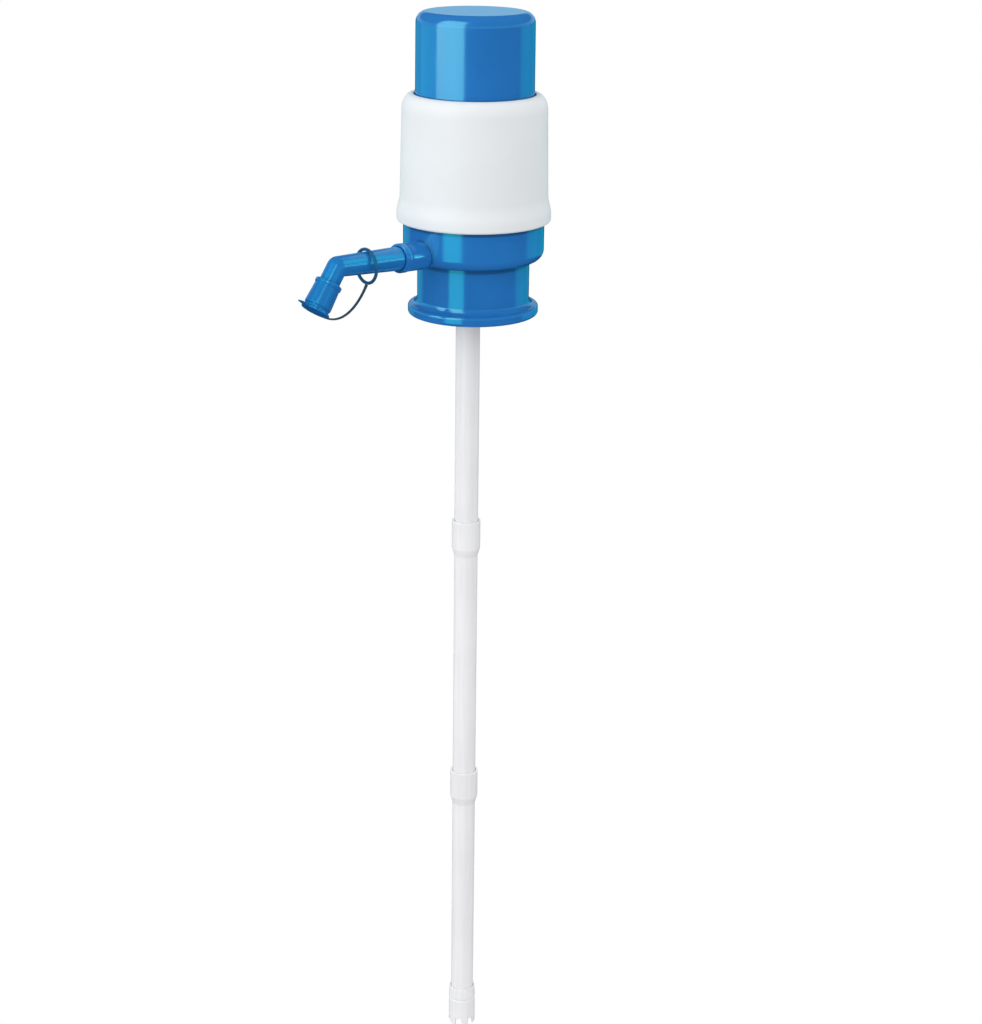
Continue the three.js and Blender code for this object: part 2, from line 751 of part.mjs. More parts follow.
// One tube section from its rim at the top to its plain end at the bottom
function tubeSection(rimZ, endZ) {
  const bore = tubeRadius - tubeWall;
  const bellOuter = bellRadius + bellWall;
  const bellFootZ = rimZ - bellDepth;
  const outline = [
    [bore, endZ],
    [tubeRadius, endZ],
    [tubeRadius, bellFootZ - bellTaper],
    [bellOuter, bellFootZ],
    [bellOuter, rimZ - bellRimRound],
    [bellOuter - bellRimRound, rimZ],
    [bellRadius, rimZ],
    [bellRadius, bellFootZ],
    [bore, bellFootZ - bellWall],
  ];
  return turned(outline, tubeFacets).translate(0, -tubeOffset, 0);
}

// Notched foot that slips over the last section's plain end
function tubeFoot() {
  const bore = tubeRadius + seatGap;
  const outer = bore + footWall;
  const stopZ = lowerTubeEndZ - seatGap;
  const grooveFootZ = footGrooveZ - footGrooveHeight;
  const outline = [
    [bore, footEndZ],
    [outer, footEndZ],
    [outer, grooveFootZ],
    [outer - footGrooveDepth, grooveFootZ],
    [outer - footGrooveDepth, footGrooveZ],
    [outer, footGrooveZ],
    [outer, footTopZ - footTaper],
    [bore + footEdgeWall, footTopZ],
    [bore, footTopZ],
    [bore, stopZ],
    [tubeRadius - tubeWall, stopZ],
    [tubeRadius - tubeWall, stopZ - footStopHeight],
    [bore, stopZ - footStopHeight - footWall],
  ];
  const notches = Array.from({ length: footNotchCount }, (_, i) =>
    box(2 * (outer + overrun), footNotchWidth, footNotchDepth + overrun,
      [0, 0, footEndZ + (footNotchDepth - overrun) / 2])
      .rotateZ(Math.PI * i / footNotchCount));
  const foot = minus(solid(turned(outline, tubeFacets)), notches);
  return geometryOf(foot).translate(0, -tubeOffset, 0);
}

addSolid('press_cap', pressCap(), bluePlastic);
addSolid('bellows_top_disc', bellowsTopDisc(), whitePlastic);
add('intake_valve', umbrellaValve(plateUnderZ, plateTopZ), clearSilicone);
add('bellows', bellows(), paleBellows);
add('bellows_clamp_upper', flatRing(cuffBossRadius + bellowsWall + 2 * seatGap,
  cuffBossRadius + bellowsWall + 2 * seatGap + clampWall,
  plateUnderZ - seatGap - clampHeight, plateUnderZ - seatGap), whitePlastic);
add('bellows_clamp_lower', flatRing(cuffBossRadius + bellowsWall + 2 * seatGap,
  cuffBossRadius + bellowsWall + 2 * seatGap + clampWall,
  deckTopZ + seatGap, deckTopZ + seatGap + clampHeight), whitePlastic);
addSolid('valve_deck', valveDeck(), whitePlastic);
add('outlet_valve', umbrellaValve(deckUnderZ, deckTopZ), clearSilicone);
add('deck_seal', flatRing(spigotBoreRadius, deckRadius, sealZ, sealZ + sealThickness), greyRubber);
add('collar_sleeve', collarSleeve(), whitePlastic);
addSolid('base_body', baseBody(), bluePlastic);
add('neck_skirt', neckSkirt(), bluePlastic);
add('neck_grip_sleeve', neckGripSleeve(), greyRubber);
add('neck_gasket', flatRing(gasketOuterRadius - gasketWidth, gasketOuterRadius,
  0, gasketThickness), greyRubber);
addSolid('spout_pipe', spoutPipe(), bluePlastic);
add('spout_o_ring', spoutORing(), greyRubber);
add('nozzle_cap', geometryOf(nozzleCap()).applyMatrix4(legFrame), bluePlastic);
add('tether_ring', tetherRing(), softBlue);
add('tether_strap', tetherStrap(), softBlue);
add('tube_upper', tubeSection(upperRimZ, middleRimZ - bellDepth + seatGap), milkyPlastic);
add('tube_middle', tubeSection(middleRimZ, lowerRimZ - bellDepth + seatGap), milkyPlastic);
add('tube_lower', tubeSection(lowerRimZ, lowerTubeEndZ), milkyPlastic);
add('tube_foot', tubeFoot(), milkyPlastic);

export default model;
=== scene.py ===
"""Looks of the water jug hand pump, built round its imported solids. Metres, +Z up, spout towards
-Y, origin at the centre of the jug's rim."""

import bpy
import numpy as np
from bpy.props import FloatProperty, FloatVectorProperty, IntProperty, PointerProperty
from bpy.types import Operator, Panel, PropertyGroup
from mathutils import Matrix, Vector


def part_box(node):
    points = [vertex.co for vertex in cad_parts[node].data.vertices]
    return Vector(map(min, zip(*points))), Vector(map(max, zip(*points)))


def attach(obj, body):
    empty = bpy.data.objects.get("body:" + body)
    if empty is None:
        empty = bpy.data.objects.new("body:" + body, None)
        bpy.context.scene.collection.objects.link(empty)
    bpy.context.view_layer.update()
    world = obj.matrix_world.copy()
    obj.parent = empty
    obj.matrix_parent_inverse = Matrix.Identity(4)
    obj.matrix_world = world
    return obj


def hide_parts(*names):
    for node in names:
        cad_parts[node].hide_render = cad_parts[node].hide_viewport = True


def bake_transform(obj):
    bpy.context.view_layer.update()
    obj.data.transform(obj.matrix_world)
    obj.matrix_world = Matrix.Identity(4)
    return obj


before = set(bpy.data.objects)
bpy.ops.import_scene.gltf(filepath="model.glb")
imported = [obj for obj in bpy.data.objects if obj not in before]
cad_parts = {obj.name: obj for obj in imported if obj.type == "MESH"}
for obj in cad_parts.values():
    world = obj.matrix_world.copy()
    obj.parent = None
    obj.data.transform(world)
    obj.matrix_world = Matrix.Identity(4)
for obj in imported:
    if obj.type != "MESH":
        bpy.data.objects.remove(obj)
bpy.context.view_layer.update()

bl_info = {
    "name": "Jug Hand Pump",
    "version": (1, 0, 0),
    "blender": (4, 5, 0),
    "location": "3D View > Sidebar > Pump",
    "description": "Builds the visible pieces of a hand pump for a water jug",
    "category": "Object",
}

# Shapes that several pieces share, in metres
GAP = 0.0003
SUPPORT = 0.0004
EDGE = 0.0003
RING_RISE = 0.0055
VALVE_STEM = 0.0016
BELLOWS_WALL = 0.0012
ELBOW_INSIDE = 0.0012
HEAD_SEGMENTS = 128
SEGMENTS = 64
SMOOTH_UP_TO = np.radians(32)
NO_LENGTH = 1e-12
DEAD_CENTRE = 1e-9
SAME_POINT = 1e-8
ACROSS = np.array([1.0, 0, 0])

# How far the three tube sections come down when all are pulled
TUBE_REACH = 3 * 0.017


def length(name, description, default):
    """A size in metres."""
    return FloatProperty(name=name, description=description, default=default, min=0.0,
                         precision=5, unit="LENGTH", subtype="DISTANCE")


def height(name, description, default):
    """A height above the jug's rim, in metres, which may lie below it."""
    return FloatProperty(name=name, description=description, default=default,
                         precision=5, unit="LENGTH", subtype="DISTANCE")


def slope(name, description, degrees):
    return FloatProperty(name=name, description=description, default=np.radians(degrees),
                         unit="ROTATION", subtype="ANGLE")


def share(name, description, default):
    return FloatProperty(name=name, description=description, default=default, min=0.0,
                         max=1.0, subtype="FACTOR")


def colour(name, description, red, green, blue):
    """A colour given as it looks on screen, from 0 to 255, kept as light."""
    seen = np.array([red, green, blue]) / 255
    light = np.where(seen <= 0.04045, seen / 12.92, ((seen + 0.055) / 1.055) ** 2.4)
    return FloatVectorProperty(name=name, description=description, default=light.tolist(),
                               size=3, min=0.0, max=1.0, subtype="COLOR")


class HeadSizes(PropertyGroup):
    cap_top: height("Cap top", "Height of the cap's crown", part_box("press_cap")[1].z)
    cap_foot: height("Cap foot", "Height of the cap's lower edge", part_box("press_cap")[0].z)
    cap_radius: length("Cap radius", "Radius of the cap where it leaves the collar", 0.0307)
    cap_draft: length("Cap draft", "How much the cap narrows to its crown", 0.0003)
    cap_wall: length("Cap wall", "Wall of the cap", 0.0022)
    cap_crown: length("Cap crown", "Rounding of the cap's upper edge", 0.0056)
    cap_flange: length("Cap flange", "How far the cap's stop stands out", 0.0037)
    collar_top: height("Collar top", "Height of the collar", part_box("collar_sleeve")[1].z)
    collar_foot: height("Collar foot", "Lower edge of the collar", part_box("collar_sleeve")[0].z)
    collar_flare: length("Collar flare", "Radius of the collar's foot", 0.0403)
    collar_waist: length("Collar waist", "Radius above the flare", 0.0386)
    collar_shoulder: length("Collar shoulder", "Radius under the shoulder", 0.0376)
    shoulder_reach: length("Shoulder reach", "Width of the shoulder's rounding", 0.0052)
    shoulder_rise: length("Shoulder rise", "Height of the shoulder's rounding", 0.0082)
    collar_hole: length("Collar hole", "Radius of the hole for the cap", 0.0314)
    ring_radius: length("Ring radius", "Radius of the blue ring", 0.0369)
    ring_foot: height("Ring foot", "Height of the ring's underside", 0.0026)
    ring_round: length("Ring rounding", "Rounding of the ring's lower edge", 0.0057)
    waist_radius: length("Waist radius", "Radius of the waist under the ring", 0.0295)
    waist_wall: length("Waist wall", "Wall of the waist", 0.0013)
    rim_radius: length("Rim radius", "Radius of the bell rim", 0.0344)
    rim_foot: height("Rim foot", "Lower edge of the bell rim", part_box("neck_skirt")[0].z)
    rim_fillet: length("Rim fillet", "Fillet between the waist and the rim", 0.0034)
    folds: IntProperty(name="Folds", description="Folds of the bellows", default=7, min=3)


class SpoutSizes(PropertyGroup):
    arm_height: height("Arm height", "Height of the arm's line at the pump's axis", 0.00755)
    arm_slope: slope("Arm slope", "Rise of the arm away from the head", 2.7)
    leg_slope: slope("Leg slope", "Fall of the outlet leg", 53.9)
    elbow: length("Elbow", "Place of the elbow along the arm", 0.0939)
    leg_length: length("Leg length", "Length of the outlet leg", 0.0237)
    boss_end: length("Boss end", "Place of the boss's end along the arm", 0.0536)
    boss_radius: length("Boss radius", "Radius of the boss", 0.0072)
    boss_fillet: length("Boss fillet", "Fillet between the boss and the ring", 0.0003)
    arm_root: length("Arm root", "Radius of the arm at the boss", 0.0061)
    leg_radius: length("Leg radius", "Radius of the leg and of the arm's far end", 0.0052)
    bore: length("Bore", "Radius of the water way", 0.0038)
    cap_depth: length("Outlet cap depth", "Length of the outlet cap's sleeve", 0.0149)
    cap_flange: length("Outlet cap flange", "Radius of the outlet cap's flange", 0.00745)
    flange_thickness: length("Flange thickness", "Thickness of the flange", 0.0012)
    tab_reach: length("Tab reach", "How far the thumb tab stands out", 0.004)
    hoop_place: length("Hoop place", "Place of the loose hoop along the arm", 0.0748)
    hoop_radius: length("Hoop radius", "Radius of the hoop's centreline", 0.0085)
    hoop_section: length("Hoop section", "Radius of the hoop's section", 0.00085)
    hoop_turn: slope("Hoop turn", "Turn of the hoop about the vertical", -5)
    strap_width: length("Strap width", "Width of the strap", 0.0018)
    strap_thickness: length("Strap thickness", "Thickness of the strap", 0.0011)


class TubeSizes(PropertyGroup):
    offset: height("Offset", "Place of the tube's axis across the head", -0.0035)
    radius: length("Radius", "Outer radius of the tube", 0.00645)
    wall: length("Wall", "Wall of the tube", 0.0012)
    bell_wall: length("Bell wall", "Wall of a bell", 0.00105)
    bell_depth: length("Bell depth", "Depth of a bell", 0.016)
    bell_taper: length("Bell taper", "Length of the taper under a bell", 0.0045)
    foot_wall: length("Foot wall", "Wall of the foot", 0.00095)
    notches: IntProperty(name="Notches", description="Notches in the foot", default=6, min=2)


class Finishes(PropertyGroup):
    blue: colour("Blue", "Colour of the blue mouldings", 40, 119, 197)
    pipe: colour("Pipe blue", "Colour of the spout", 28, 116, 192)
    blue_gloss: share("Blue roughness", "Roughness of the blue mouldings", 0.15)
    white: colour("White", "Colour of the collar", 236, 240, 243)
    white_gloss: share("White roughness", "Roughness of the collar", 0.42)
    milky: colour("Milky", "Colour of the tube", 244, 244, 246)
    soft_blue: colour("Soft blue", "Colour of the outlet cap", 28, 113, 188)
    hoop: colour("Hoop", "Colour of the loose hoop", 28, 90, 136)
    strap: colour("Strap", "Colour of the thin strap", 52, 73, 90)
    bellows: colour("Bellows", "Colour of the bellows", 217, 222, 224)
    rubber: colour("Rubber", "Colour of the seals", 143, 149, 152)
    silicone: colour("Silicone", "Colour of the valves", 233, 228, 218)
    plastic_wear: share("Mottling", "How far a colour wanders over a moulding", 0.04)


class StudioSettings(PropertyGroup):
    distance: length("Camera distance", "Camera to the pump's axis, level", 1.05)
    camera_height: height("Camera height", "Height of the camera", 0.23588)
    camera_turn: slope("Camera turn", "Camera's turn about the pump", 45)
    camera_shift: height("Camera shift", "Camera's place across its line of sight", 0.011057)
    camera_fall: slope("Camera fall", "How far the camera looks down", 19.6475)
    camera_roll: slope("Camera roll", "Roll of the camera", -0.7709)
    lens: FloatProperty(name="Lens", description="Focal length", default=71.458,
                        subtype="DISTANCE_CAMERA")
    ambient: FloatProperty(name="Ambient", description="Even light from all round",
                           default=1.02, min=0.0)
    panel_distance: length("Panel distance", "Soft boxes to the pump's axis", 1.3)
    card_distance: length("Card distance", "Dark cards to the pump's axis", 1.7)
    card_height: height("Card height", "Top of the cards", 2.3)
    floor_height: height("Floor", "Height of the floor, clear of the pulled-out tube",
                         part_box("tube_foot")[0].z - TUBE_REACH)
    floor_size: length("Floor size", "Width of the floor", 30.0)


# Surfaces

def unit(rows):
    return rows / np.maximum(np.linalg.norm(rows, axis=-1, keepdims=True), NO_LENGTH)


def turning(first, last, angle, t):
    """Vectors that turn evenly from the first to the last, which lie an angle apart."""
    return (np.sin((1 - t) * angle) * first + np.sin(t * angle) * last) / np.sin(angle)


def without_doubles(outline):
    """Drops each point that lies on the one before it."""
    apart = np.linalg.norm(np.diff(outline, axis=0), axis=1) > SAME_POINT
    return outline[np.concatenate([[True], apart])]


def plain(radius, z):
    """Corners whose fillet is 0."""
    return np.stack([radius, z, np.zeros(len(z))], 1)


def rounded(corners, steps=6, closed=True):
    """Outline of (radius, height, fillet) corners, where a corner without a fillet gets EDGE. A
    fillet over 0 becomes an arc that touches both of its edges: its centre lies on the corner's
    bisector, fillet / sin(half angle) away, and the radius vector turns evenly from one edge to
    the other. A point is added on each edge close to every arc, so that flat walls shade flat."""
    nearly_straight, lead_share = np.radians(89.5), 0.3
    corners = np.array([(*corner, EDGE)[:3] for corner in corners])
    here, fillet = corners[:, :2], corners[:, 2]
    before, after = np.roll(here, 1, 0), np.roll(here, -1, 0)
    u, v = unit(before - here), unit(after - here)
    half = np.arccos(np.clip((u * v).sum(1), -1, 1)) / 2
    sharp = (fillet <= 0) | (half > nearly_straight)
    half = np.where(sharp, np.pi / 4, half)
    reach = np.where(sharp, 0, fillet / np.tan(half))
    centre = unit(u + v) * np.where(sharp, 0, fillet / np.sin(half))[:, None]
    start, end = u * reach[:, None], v * reach[:, None]
    sweep = (np.pi - 2 * half)[:, None, None]
    t = np.linspace(0, 1, steps + 1)[None, :, None]
    turn = turning((start - centre)[:, None], (end - centre)[:, None], sweep, t)
    arcs = here[:, None] + centre[:, None] + turn
    room = np.linalg.norm(after - here, axis=1) - reach - np.roll(reach, -1)
    ahead = np.clip(lead_share * room, 0, SUPPORT) * ~sharp
    behind = np.clip(lead_share * np.roll(room, 1), 0, SUPPORT) * ~sharp
    lead = here + start + u * behind[:, None]
    tail = here + end + v * ahead[:, None]
    rows = np.concatenate([lead[:, None], arcs, tail[:, None]], 1)
    if closed:
        return without_doubles(rows.reshape(-1, 2))
    return without_doubles(np.concatenate([here[:1], rows[1:-1].reshape(-1, 2), here[-1:]]))


def arc(centre, reach, from_degrees, to_degrees, steps=12):
    """Plain corners along an ellipse: centre + reach times (cosine, sine) of the angle."""
    angle = np.radians(np.linspace(from_degrees, to_degrees, steps + 1))
    return plain(centre[0] + reach[0] * np.cos(angle), centre[1] + reach[1] * np.sin(angle))


def around(segments):
    return np.linspace(0, 2 * np.pi, segments, endpoint=False)


def lathe(outline, angles):
    """Grid of points: each outline point (radius, height) turned to each angle about Z."""
    radius, z = outline[:, :1], outline[:, 1:2]
    return np.stack([radius * np.cos(angles), radius * np.sin(angles),
                     np.broadcast_to(z, (len(outline), len(angles)))], -1)


def skin(grid, poles=False):
    """Points and faces of a grid whose columns are closed. Its rows are closed too, or else end
    in two poles, each of them one point that a fan of triangles meets."""
    index = np.arange(grid.shape[0] * grid.shape[1]).reshape(grid.shape[:2])
    if poles:
        index[0], index[-1] = index[0, 0], index[-1, 0]
    used = np.unique(index)
    points = grid.reshape(-1, 3)[used]
    lower = np.searchsorted(used, index)
    upper = np.roll(lower, -1, 0)
    quads = np.stack([lower, np.roll(lower, -1, 1), np.roll(upper, -1, 1), upper], -1)
    if not poles:
        return points, quads.reshape(-1, 4).tolist()
    bottom, top = quads[0][:, [0, 2, 3]], quads[-2][:, [0, 1, 2]]
    return points, quads[1:-2].reshape(-1, 4).tolist() + bottom.tolist() + top.tolist()


def placed(points, line):
    """Points of a frame, given by its matrix, as points of the pump."""
    return points @ line[:3, :3].T + line[:3, 3]


def turned(outline, segments=HEAD_SEGMENTS, line=None, shape=None):
    """Closed surface of an outline turned about Z, or about a frame's Z. An outline that starts
    and ends on the axis is closed by poles. shape, if given, changes the grid before that."""
    angles = around(segments) if np.isscalar(segments) else segments
    grid = lathe(outline, angles)
    if shape is not None:
        grid = shape(grid, angles)
    if line is not None:
        grid = placed(grid, line)
    return skin(grid, np.abs(outline[[0, -1], 0]).max() < DEAD_CENTRE)


def washer(inner, outer, low, high, fillet, steps, segments=SEGMENTS):
    """Flat ring with rounded edges."""
    return turned(rounded([(inner, low, fillet), (outer, low, fillet), (outer, high, fillet),
                           (inner, high, fillet)], steps), segments)


def rod(radius, low, high, segments):
    """Plain upright cylinder, to cut a hole with."""
    return turned(np.array([(0, low), (radius, low), (radius, high), (0, high)]), segments)


def torus(radius, section, segments, section_segments, line):
    """Ring: a circle of the section's radius turned about the frame's Z at the ring's radius."""
    angle = around(section_segments)
    outline = np.stack([radius + section * np.cos(angle), section * np.sin(angle)], 1)
    return turned(outline, segments, line)


def block(low, high, bevel=0.0002):
    """Box with chamfered upright and level edges: an octagonal outline at four heights, drawn
    in by the bevel at the first and last."""
    low, high = np.array(low, float), np.array(high, float)
    x, y = (high - low)[:2] / 2
    middle = (high + low) / 2
    ring = np.array([[x, -y + bevel], [x, y - bevel], [x - bevel, y], [-x + bevel, y],
                     [-x, y - bevel], [-x, -y + bevel], [-x + bevel, -y], [x - bevel, -y]])
    inward = 1 - bevel / np.array([x, y])
    levels = np.array([low[2], low[2] + bevel, high[2] - bevel, high[2]])
    shrink = np.array([inward, [1, 1], [1, 1], inward])
    sides = np.concatenate([
        middle[:2] + ring[None] * shrink[:, None],
        np.broadcast_to(levels[:, None, None], (4, 8, 1)),
    ], -1)
    centre = np.tile(middle, (2, 8, 1))
    centre[0, :, 2], centre[1, :, 2] = low[2], high[2]
    return skin(np.concatenate([centre[:1], sides, centre[1:]]), poles=True)


def spread(part, turns):
    """Copies of a part, each turned about Z by a number of degrees."""
    copies = []
    for turn in np.radians(turns):
        c, s = np.cos(turn), np.sin(turn)
        copies.append((part[0] @ np.array([[c, s, 0], [-s, c, 0], [0, 0, 1]]), part[1]))
    return copies


def moved(part, offset):
    return part[0] + np.array(offset), part[1]


def joined(parts):
    """Several closed skins as one list of points and faces."""
    counts = np.cumsum([0] + [len(points) for points, _ in parts])
    faces = [[i + int(n) for i in f] for n, (_, fs) in zip(counts, parts) for f in fs]
    return np.concatenate([points for points, _ in parts]), faces


def mesh_object(name, part):
    """Object at the origin from points and faces, smooth but for edges over the limit."""
    points, faces = part
    mesh = bpy.data.meshes.new(name)
    mesh.from_pydata(points.tolist(), [], faces)
    mesh.validate()
    mesh.polygons.foreach_set("use_smooth", np.ones(len(mesh.polygons), bool))
    mesh.set_sharp_from_angle(angle=SMOOTH_UP_TO)
    mesh.update()
    obj = bpy.data.objects.new(name, mesh)
    bpy.context.scene.collection.objects.link(obj)
    return obj


def drilled(part, holes):
    """The part with the holes' skins cut away by an exact boolean."""
    body = mesh_object("drill_body", part)
    cutter = mesh_object("drill_cutter", joined(holes))
    cut = body.modifiers.new("cut", "BOOLEAN")
    cut.operation, cut.solver, cut.object, cut.use_self = "DIFFERENCE", "EXACT", cutter, False
    seen = body.evaluated_get(bpy.context.evaluated_depsgraph_get()).to_mesh()
    points = np.empty(len(seen.vertices) * 3)
    seen.vertices.foreach_get("co", points)
    faces = [list(p.vertices) for p in seen.polygons]
    for obj in (body, cutter):
        mesh = obj.data
        bpy.data.objects.remove(obj)
        bpy.data.meshes.remove(mesh)
    return points.reshape(-1, 3), faces


def piece(name, part, body, look, node):
    """A finished piece that stands for its CAD node. It rides on a body, or on none."""
    obj = mesh_object(name, part)
    obj.data.materials.append(finish(look))
    if body is not None:
        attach(obj, body)
    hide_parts(node)
    return obj


def axes(direction, origin):
    """Frame whose Z runs along a direction in the plane x = 0, with X across the pump."""
    made = np.eye(4)
    made[:3, :3] = np.stack([ACROSS, np.cross(direction, ACROSS), direction], 1)
    made[:3, 3] = origin
    return made


def arm_direction(spout):
    return np.array([0, -np.cos(spout.arm_slope), np.sin(spout.arm_slope)])


def arm_axes(spout):
    return axes(arm_direction(spout), [0, 0, spout.arm_height])


def leg_axes(spout):
    corner = np.array([0, 0, spout.arm_height]) + arm_direction(spout) * spout.elbow
    return axes(np.array([0, -np.cos(spout.leg_slope), -np.sin(spout.leg_slope)]), corner)


# Materials

class Value:
    """A socket of a material. Arithmetic on it adds Math nodes."""

    def __init__(self, recipe, socket):
        self.recipe, self.socket = recipe, socket

    def math(self, operation, *values):
        inputs = dict(enumerate(values))
        return self.recipe.node("ShaderNodeMath", {"operation": operation}, inputs)

    def __add__(self, other):
        return self.math("ADD", self, other)

    def __radd__(self, other):
        return self.math("ADD", other, self)

    def __sub__(self, other):
        return self.math("SUBTRACT", self, other)

    def __rsub__(self, other):
        return self.math("SUBTRACT", other, self)

    def __mul__(self, other):
        return self.math("MULTIPLY", self, other)

    def root(self):
        return self.math("SQRT", self)

    def above(self, low, high):
        """0 below low, 1 above high, and smooth between them."""
        return self.recipe.node("ShaderNodeMapRange", {"interpolation_type": "SMOOTHSTEP"},
                                {"Value": self, "From Min": low, "From Max": high})


class Recipe:
    """The nodes of one material or world."""

    def __init__(self, owner):
        owner.use_nodes = True
        self.tree = owner.node_tree
        self.tree.nodes.clear()

    def node(self, kind, settings=None, inputs=None, out=0):
        """Adds a node, sets what it is first and then its sockets, and returns one output."""
        made = self.tree.nodes.new(kind)
        for key, value in (settings or {}).items():
            setattr(made, key, value)
        for key, value in (inputs or {}).items():
            if isinstance(value, Value):
                self.tree.links.new(value.socket, made.inputs[key])
            else:
                made.inputs[key].default_value = value
        return Value(self, made.outputs[out]) if len(made.outputs) else None

    def place(self, scale=(1, 1, 1), turn=(0, 0, 0)):
        where = self.node("ShaderNodeTexCoord", out="Object")
        return self.node("ShaderNodeMapping", {}, {"Vector": where, "Scale": scale,
                                                   "Rotation": turn})

    def coordinate(self, where, letter):
        return self.node("ShaderNodeSeparateXYZ", {}, {0: where}, out=letter)

    def noise(self, where, scale, detail):
        return self.node("ShaderNodeTexNoise", {}, {
            "Vector": where, "Scale": scale, "Detail": detail, "Roughness": 0.5})

    def mix(self, factor, first, second):
        return self.node("ShaderNodeMix", {"data_type": "RGBA"},
                         {"Factor": factor, 6: first, 7: second}, out=2)

    def glow(self, kind, tone, strength):
        return self.node(kind, {}, {"Color": tone, "Strength": strength})

    def mix_shader(self, factor, first, second):
        return self.node("ShaderNodeMixShader", {}, {0: factor, 1: first, 2: second})

    def surface(self, shader, kind="ShaderNodeOutputMaterial"):
        self.node(kind, {}, {"Surface": shader})

    def shown(self):
        """1 for what the camera sees, straight or in gloss or glass."""
        rays = ["Is Camera Ray", "Is Glossy Ray", "Is Transmission Ray"]
        camera, gloss, glass = (self.node("ShaderNodeLightPath", out=ray) for ray in rays)
        return camera.math("MAXIMUM", camera, gloss.math("MAXIMUM", gloss, glass))


def rgba(tone, level=1.0):
    return tuple(min(1.0, c * level) for c in tone) + (1.0,)


def moulded(name, tone, rough, level, tint, mottling, grain, grain_scale, lines=0.0,
            parting=0.0, painted_shade=None):
    """Moulded plastic or rubber. Its colour wanders slowly between a darker and a lighter tone,
    flow lines run along Z, fine hairlines dull the gloss, and a grain and, where asked, the
    mould's parting ridge in the plane x = 0 raise the surface. The last argument, where given,
    says how much painted shade covers each place: a darker tone that stands in for the shadow
    at the joints."""
    cloud_scale, streak_scale, hair_scale = 34, 420, 2600
    # Strength and tone of the painted shade that stands in for the joints' shadow
    painted_shade_depth, painted_shade_tone = 0.6, rgba(tone, 0.32)
    cloud_gloss, hair_gloss = 0.08, 0.1
    ridge_half, ridge_foot = 0.00008, 0.00022
    material = bpy.data.materials.new(name)
    recipe = Recipe(material)
    place = recipe.place()
    stretched = recipe.place(scale=(1, 1, 0.04))
    slanted = recipe.place(scale=(0.15, 1, 1), turn=(0.4, 0.9, 0.3))
    cloud = recipe.noise(place, cloud_scale, 3)
    streaks = recipe.noise(stretched, streak_scale, 2)
    hair = recipe.noise(slanted, hair_scale, 1).above(0.7, 0.78)
    peel = recipe.noise(place, grain_scale, 2)
    wander = (cloud * (1 - lines) + streaks * lines).above(0.3, 0.7)
    tones = recipe.mix(wander, rgba(tone, 1 - mottling), rgba(tone, 1 + mottling))
    # Painted shade: the colour is darkened towards a shadow tone where the joints' shadow falls
    if painted_shade:
        tones = recipe.mix(painted_shade(recipe, place) * painted_shade_depth, tones, painted_shade_tone)
    roughness = rough + (cloud - 0.5) * cloud_gloss + hair * hair_gloss
    relief = peel + streaks * lines
    if parting:
        ridge = near(recipe.coordinate(place, "X"), None, ridge_half, ridge_foot)
        relief = relief + ridge * parting
    bump = recipe.node("ShaderNodeBump", {}, {"Strength": 1.0, "Distance": grain,
                                              "Height": relief})
    recipe.surface(recipe.node("ShaderNodeBsdfPrincipled", {}, {
        "Base Color": tones, "Roughness": roughness, "Normal": bump,
        "Specular IOR Level": level, "Specular Tint": rgba(tint)}))
    return material


def near(value, middle, inner, outer):
    """1 within inner of the middle, or of 0 where it is None, and 0 beyond outer."""
    apart = value if middle is None else value - middle
    return 1 - apart.math("ABSOLUTE", apart).above(inner, outer)


def cap_painted_shade(recipe, where):
    """Painted shade: a dark line where the cap leaves the collar at rest, standing in for the
    shadow in the gap.
    """
    return near(recipe.coordinate(where, "Z"), 0.0878, 0.0004, 0.0011)


def head_painted_shade(recipe, where):
    """Painted shade: dark lines where shadow falls under the collar's edge, under the ring's
    rounded foot and in the crease round the root of the boss, which is a distance from the
    arm's line and another from the head's axis."""
    under_collar, under_ring = (0.0222, 0.0007, 0.0015), (0.0022, 0.0012, 0.0026)
    round_boss, on_ring = (0.0072, 0.0004, 0.0010), (0.0371, 0.0004, 0.0010)
    boss_height, boss_front = 0.0093, (-0.02, -0.01)
    x, y, z = (recipe.coordinate(where, letter) for letter in "XYZ")
    rise = z - boss_height
    from_arm = (x * x + rise * rise).root()
    from_axis = (x * x + y * y).root()
    boss = near(from_arm, *round_boss) * near(from_axis, *on_ring)
    front = 1 - y.above(*boss_front)
    lines = near(z, *under_collar) + near(z, *under_ring)
    return lines + boss * front


def finish(name):
    """The named finish, made once and shared by its pieces. A row says its tone, roughness,
    level and tint of the reflection, mottling, grain's depth and scale, flow lines, parting
    ridge and painted shade at the joints."""
    if name in bpy.data.materials:
        return bpy.data.materials[name]
    tones = bpy.context.scene.pump_finishes
    gloss, wear = tones.blue_gloss, tones.plastic_wear
    cool, white = (0.30, 1.0, 0.88), (1, 1, 1)
    rows = {
        # The last entry of gloss_blue and head_blue paints shade at the cap's gap and at the
        # head's joints
        "gloss_blue": (tones.blue, gloss, 1.0, cool, wear, 0.00001, 700, 0, 0, cap_painted_shade),
        "head_blue": (tones.blue, gloss, 1.0, cool, wear, 0.00001, 700, 0, 0, head_painted_shade),
        "pipe_blue": (tones.pipe, gloss + 0.05, 1.0, cool, wear, 0.000004, 500, 0, 1.5),
        "satin_white": (tones.white, tones.white_gloss, 0.1, white, wear / 3, 0.00001, 900),
        "milky_tube": (tones.milky, 0.34, 0.18, white, wear, 0.00002, 600, 0.6),
        "cap_blue": (tones.soft_blue, 0.2, 1.0, cool, wear, 0.000004, 600, 0, 1.5),
        "hoop_blue": (tones.hoop, 0.34, 0.4, cool, wear, 0.000004, 600),
        "strap_blue": (tones.strap, 0.42, 0.3, cool, wear * 2, 0.00001, 800, 0.4),
        "bellows_milky": (tones.bellows, 0.45, 0.4, white, wear, 0.00004, 400),
        "seal_rubber": (tones.rubber, 0.68, 0.3, white, wear * 2, 0.00006, 900),
        "clear_silicone": (tones.silicone, 0.4, 0.4, white, wear, 0.00002, 500),
    }
    return moulded(name, *rows[name])


# Pieces

